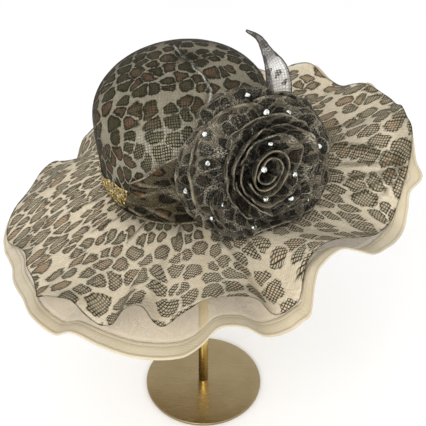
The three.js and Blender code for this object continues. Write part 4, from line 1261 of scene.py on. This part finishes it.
class HAT_OT_leaf(bpy.types.Operator):
    """Make the wired leaf that stands up behind the rose"""

    bl_idname = "hat.leaf"
    bl_label = "Leaf"

    def execute(self, context):
        rows, columns = 64, 17
        knots = np.column_stack([np.arange(len(LEAF_LINE)), LEAF_LINE])
        place = np.linspace(0, len(LEAF_LINE) - 1, rows)
        line = np.stack([along(knots, column, place) for column in (1, 2, 3)], -1)
        half = along(knots, 4, place)
        ahead = np.gradient(line, axis=0)
        across = np.stack([ahead[:, 1], -ahead[:, 0], 0 * half], -1)
        across /= np.linalg.norm(across, axis=1, keepdims=True)
        half, place = half[:, None], place[:, None]
        side = np.linspace(-1, 1, columns)[None, :]
        grid = line[:, None] + across[:, None] * half[..., None] * side[..., None]
        grid[..., 2] += 3 * side**2 * half / 14 - 0.5 + 0.5 * ripples(70, 5, 6, 20)(place) * side
        weave_at = np.stack(np.broadcast_arrays(half * side, place * 15, 0.0), -1) * MM
        tip = smooth_step(place, 3.9, 4.9)
        fold = smooth_step(-side, 0.35, 0.6) + 0.7 * smooth_step(side, 0.7, 0.95)
        root = smooth_step(place, 1.8, 1.0) * (0.5 + 0.4 * ripples(71, 5, 3, 9)(3 * side))
        dark = np.clip(np.maximum(np.maximum(0.85 * tip, 0.9 * fold), root), 0, 0.93)
        values = cloth_values(grid * MM + 3.1, weave_at, smooth_step(np.abs(side), 0.93, 1.0), 1.0, dark)
        leaf = make_sheet("leaf_cloth", grid, ROSE_PLACE, "leaf_print", values, ROSE_THICK)
        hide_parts("leaf_upper")
        outline = np.concatenate([grid[:, 0], grid[::-1, -1]])
        wire = make_roll("leaf_wire", outline, 0.55, ROSE_PLACE, "leaf_print",
                         cloth_values(outline * MM, outline * MM, edge=1.0, dark=1.0), sides=6)
        return {"FINISHED"}


# Radius, height, count and turn of each ring of a cut stone's corners, from its table to its back.
STONE_RINGS = (
    (1.5, 2.15, 8, 22.5), (2.35, 1.6, 8, 0), (2.9, 0.85, 16, 0), (2.9, 0.5, 16, 0), (1.45, 0.02, 16, 0),
)


def stone_points():
    """Points and faces of a cut stone: table, star and kite facets, girdle and a closed back."""
    points, starts = [], []
    for size, height, count, turn in STONE_RINGS:
        starts.append(len(points))
        for at in range(count):
            angle = math.radians(turn + 360 * at / count)
            points.append((size * math.cos(angle), size * math.sin(angle), height))
    table, star, girdle, edge, back = starts
    faces = [ring_cap(table, 8)]
    for at in range(8):
        before, after = (at - 1) % 8, (at + 1) % 8
        left, low, right = (girdle + (2 * at + step) % 16 for step in (-1, 0, 1))
        faces += [(table + before, star + at, table + at), (table + at, star + at, star + after),
                  (star + at, left, low), (star + at, low, right), (star + at, right, star + after)]
    for upper, lower in ((girdle, edge), (edge, back)):
        for at in range(16):
            beside = (at + 1) % 16
            faces.append((upper + at, lower + at, lower + beside, upper + beside))
    faces.append(ring_cap(back, 16)[::-1])
    return np.array(points, float), faces


def rose_cloth():
    """The rose's dressed cloth, as trees of faces that a line can be cast at."""
    trees = []
    for piece in bpy.context.scene.objects:
        if piece.name.endswith("_cloth") and piece.name.startswith(("petal", "rose_bud")):
            faces = [tuple(face.vertices) for face in piece.data.polygons]
            trees.append(BVHTree.FromPolygons([point.co for point in piece.data.vertices], faces))
    return trees


# How far out in front of the rose a line is cast from, in its own millimetres.
CAST_FROM = 150


def cloth_depth(trees, right, up):
    """How far out the cloth's front lies under a stone, in the rose's own millimetres."""
    out = ROSE_PLACE.to_3x3() @ Vector((0, 0, 1))
    depths = []
    for turn in range(0, 360, 45):
        angle = math.radians(turn)
        beside = Vector((right + 2 * math.cos(angle), up + 2 * math.sin(angle), CAST_FROM))
        hits = [tree.ray_cast((ROSE_PLACE @ beside) * MM, -out)[3] for tree in trees]
        depths += [CAST_FROM - distance / MM for distance in hits if distance is not None]
    return max(depths, default=None)


class HAT_OT_stones(bpy.types.Operator):
    """Make the cut stones that are sewn to the petals"""

    bl_idname = "hat.stones"
    bl_label = "Stones"

    def execute(self, context):
        shape, faces = stone_points()
        back = ROSE_PLACE.inverted()
        trees = rose_cloth()
        source = np.random.default_rng(77)
        for at in range(1, STONE_COUNT + 1):
            node = f"stone_{at:02d}"
            low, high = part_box(node)
            seat = back @ ((low + high) * 0.5 / MM) - Vector((0, 0, 1.1))
            cloth = cloth_depth(trees, seat.x, seat.y)
            if cloth is not None:
                seat.z = min(max(cloth + 0.1, seat.z - 3), seat.z + 4)
            turn = Matrix.Rotation(source.uniform(0, 6.28), 3, "Z")
            turn = Matrix.Rotation(source.uniform(-0.16, 0.16), 3, "X") @ turn
            placed = shape @ np.array(turn).T + np.array(seat)
            stone = make_piece(f"{node}_cut", moved(placed, ROSE_PLACE), faces, "cut_crystal",
                               smooth=False)
            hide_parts(node)
        return {"FINISHED"}


# The stand.

# Radius and height of each ring of the foot and of the pole.
FOOT_PROFILE = (
    (74.2, 0.0), (74.8, 0.25), (75.0, 0.8), (75.0, 3.2), (74.8, 3.65), (74.3, 3.92), (73.6, 4.0),
    (60, 4.0), (30, 4.0), (8, 4.0),
)
POLE_PROFILE = (
    (6.0, 4.02), (6.3, 4.3), (6.3, 60), (6.3, 120), (6.3, 200), (6.3, 300), (6.3, 404.6), (6.0, 405),
)


def turned(name, profile, sides, material, dark):
    """A round piece on the stand's axis, with its painted reflection given for each of its sides."""
    angle = np.arange(sides) * 2 * np.pi / sides
    grid = np.array([[(radius * math.cos(at), radius * math.sin(at), height) for at in angle]
                     for radius, height in profile])
    faces = grid_faces(len(profile), sides, True)
    faces += [ring_cap(0, sides)[::-1], ring_cap((len(profile) - 1) * sides, sides)]
    return make_piece(name, grid, faces, material, {"dark": np.broadcast_to(dark, grid.shape[:2])})


class HAT_OT_stand(bpy.types.Operator):
    """Make the stand's foot and pole, and finish its cap"""

    bl_idname = "hat.stand"
    bl_label = "Stand"

    def execute(self, context):
        foot = turned("stand_foot_plate", FOOT_PROFILE, 144, "foot_metal", 0.0)
        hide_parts("stand_foot")
        sides = 48
        azimuth = np.degrees(np.arange(sides) * 2 * np.pi / sides)
        # Painted reflection on the pole: darker all round, most at the front left, and lighter in a stripe at
        # the front right.
        painted_reflection = 0.35 + 0.6 * bell_at(azimuth, 216, 28) - 0.35 * bell_at(azimuth, 296, 18)
        pole = turned("stand_pole_tube", POLE_PROFILE, sides, "pole_metal", painted_reflection)
        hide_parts("stand_pole")
        finish_cad("stand_head", "cap_plastic")
        return {"FINISHED"}


# The stage.

# The photo's width and how far its view is shifted, in its pixels; the camera's place in metres, and how many
# degrees it looks down.
PHOTO_WIDTH, CAMERA_SHIFT = 426, 9.6
CAMERA_PLACE, CAMERA_DOWN = (0, -0.605, 0.653), 32.8


def area_light(name, place, aim, power, size):
    """A round soft light at a place, turned to what it lights."""
    lamp = bpy.data.lights.new(name, "AREA")
    lamp.energy = power
    lamp.shape = "DISK"
    lamp.size = size
    lit = bpy.data.objects.new(name, lamp)
    lit.location = place
    lit.rotation_euler = (Vector(aim) - Vector(place)).to_track_quat("-Z", "Y").to_euler()
    bpy.context.scene.collection.objects.link(lit)


def make_floor(scene):
    """A floor that is wide enough to have no edge in any view."""
    draw = Finish("studio_floor", Roughness=0.9, Specular_IOR_Level=0.1)
    tone = draw.noise(draw.object_place(), 3.0)
    draw.put(Base_Color=draw.mixed(tone, (0.955, 0.955, 0.955), (0.975, 0.975, 0.975)))
    half, top = 12.0, -0.3 * MM
    mesh = bpy.data.meshes.new("floor")
    mesh.from_pydata([(-half, -half, top), (half, -half, top), (half, half, top), (-half, half, top)], [],
                     [(0, 1, 2, 3)])
    mesh.materials.append(draw.material)
    floor = bpy.data.objects.new("floor", mesh)
    scene.collection.objects.link(floor)


class HAT_OT_stage(bpy.types.Operator):
    """Make the pale floor, the soft lights and the camera"""

    bl_idname = "hat.stage"
    bl_label = "Stage"

    def execute(self, context):
        scene, stage = context.scene, context.scene.hat_stage
        make_floor(scene)
        scene.world = bpy.data.worlds.new("studio")
        scene.world.use_nodes = True
        sky = scene.world.node_tree.nodes["Background"]
        sky.inputs["Color"].default_value = (1.0, 1.0, 1.0, 1.0)
        sky.inputs["Strength"].default_value = stage.sky
        scene.view_settings.view_transform = "Standard"
        area_light("key", (-0.8, -1.5, 1.5), (0, 0, 0.33), stage.key, 0.9)
        area_light("fill", (-0.1, -1.9, 0.5), (0, 0, 0.3), stage.fill, 1.2)
        lens = bpy.data.cameras.new("camera")
        lens.lens = stage.focal
        lens.sensor_width = 36
        lens.shift_x = CAMERA_SHIFT / PHOTO_WIDTH
        lens.clip_end = 60
        scene.camera = bpy.data.objects.new("camera", lens)
        scene.camera.location = CAMERA_PLACE
        scene.camera.rotation_euler = (math.radians(90 - CAMERA_DOWN), 0, 0)
        scene.collection.objects.link(scene.camera)
        return {"FINISHED"}


class HAT_PT_sidebar(bpy.types.Panel):
    """Lists the pieces and their settings in the sidebar"""

    bl_label = "Sun hat"
    bl_idname = "HAT_PT_sidebar"
    bl_space_type = "VIEW_3D"
    bl_region_type = "UI"
    bl_category = "Sun hat"

    def draw(self, context):
        layout = self.layout
        for group in (context.scene.hat_cloth, context.scene.hat_brim, context.scene.hat_rose,
                      context.scene.hat_stage):
            box = layout.box()
            for name in group.bl_rna.properties.keys():
                if name not in {"rna_type", "name"}:
                    box.prop(group, name)
        for operator in OPERATORS:
            layout.operator(operator.bl_idname)


GROUPS = {"hat_cloth": HatCloth, "hat_brim": HatBrim, "hat_rose": HatRose, "hat_stage": HatStage}
OPERATORS = (HAT_OT_crown, HAT_OT_brim, HAT_OT_band, HAT_OT_sash, HAT_OT_rose, HAT_OT_leaf, HAT_OT_stones,
             HAT_OT_stand, HAT_OT_stage)


def register():
    for name, group in GROUPS.items():
        bpy.utils.register_class(group)
        setattr(bpy.types.Scene, name, PointerProperty(type=group))
    for operator in OPERATORS:
        bpy.utils.register_class(operator)
    bpy.utils.register_class(HAT_PT_sidebar)


def unregister():
    bpy.utils.unregister_class(HAT_PT_sidebar)
    for operator in reversed(OPERATORS):
        bpy.utils.unregister_class(operator)
    for name, group in GROUPS.items():
        delattr(bpy.types.Scene, name)
        bpy.utils.unregister_class(group)


def main():
    register()
    make_materials()
    for operator in OPERATORS:
        part, action = operator.bl_idname.split(".")
        getattr(getattr(bpy.ops, part), action)()
    bpy.context.view_layer.update()


if __name__ == "__main__":
    main()
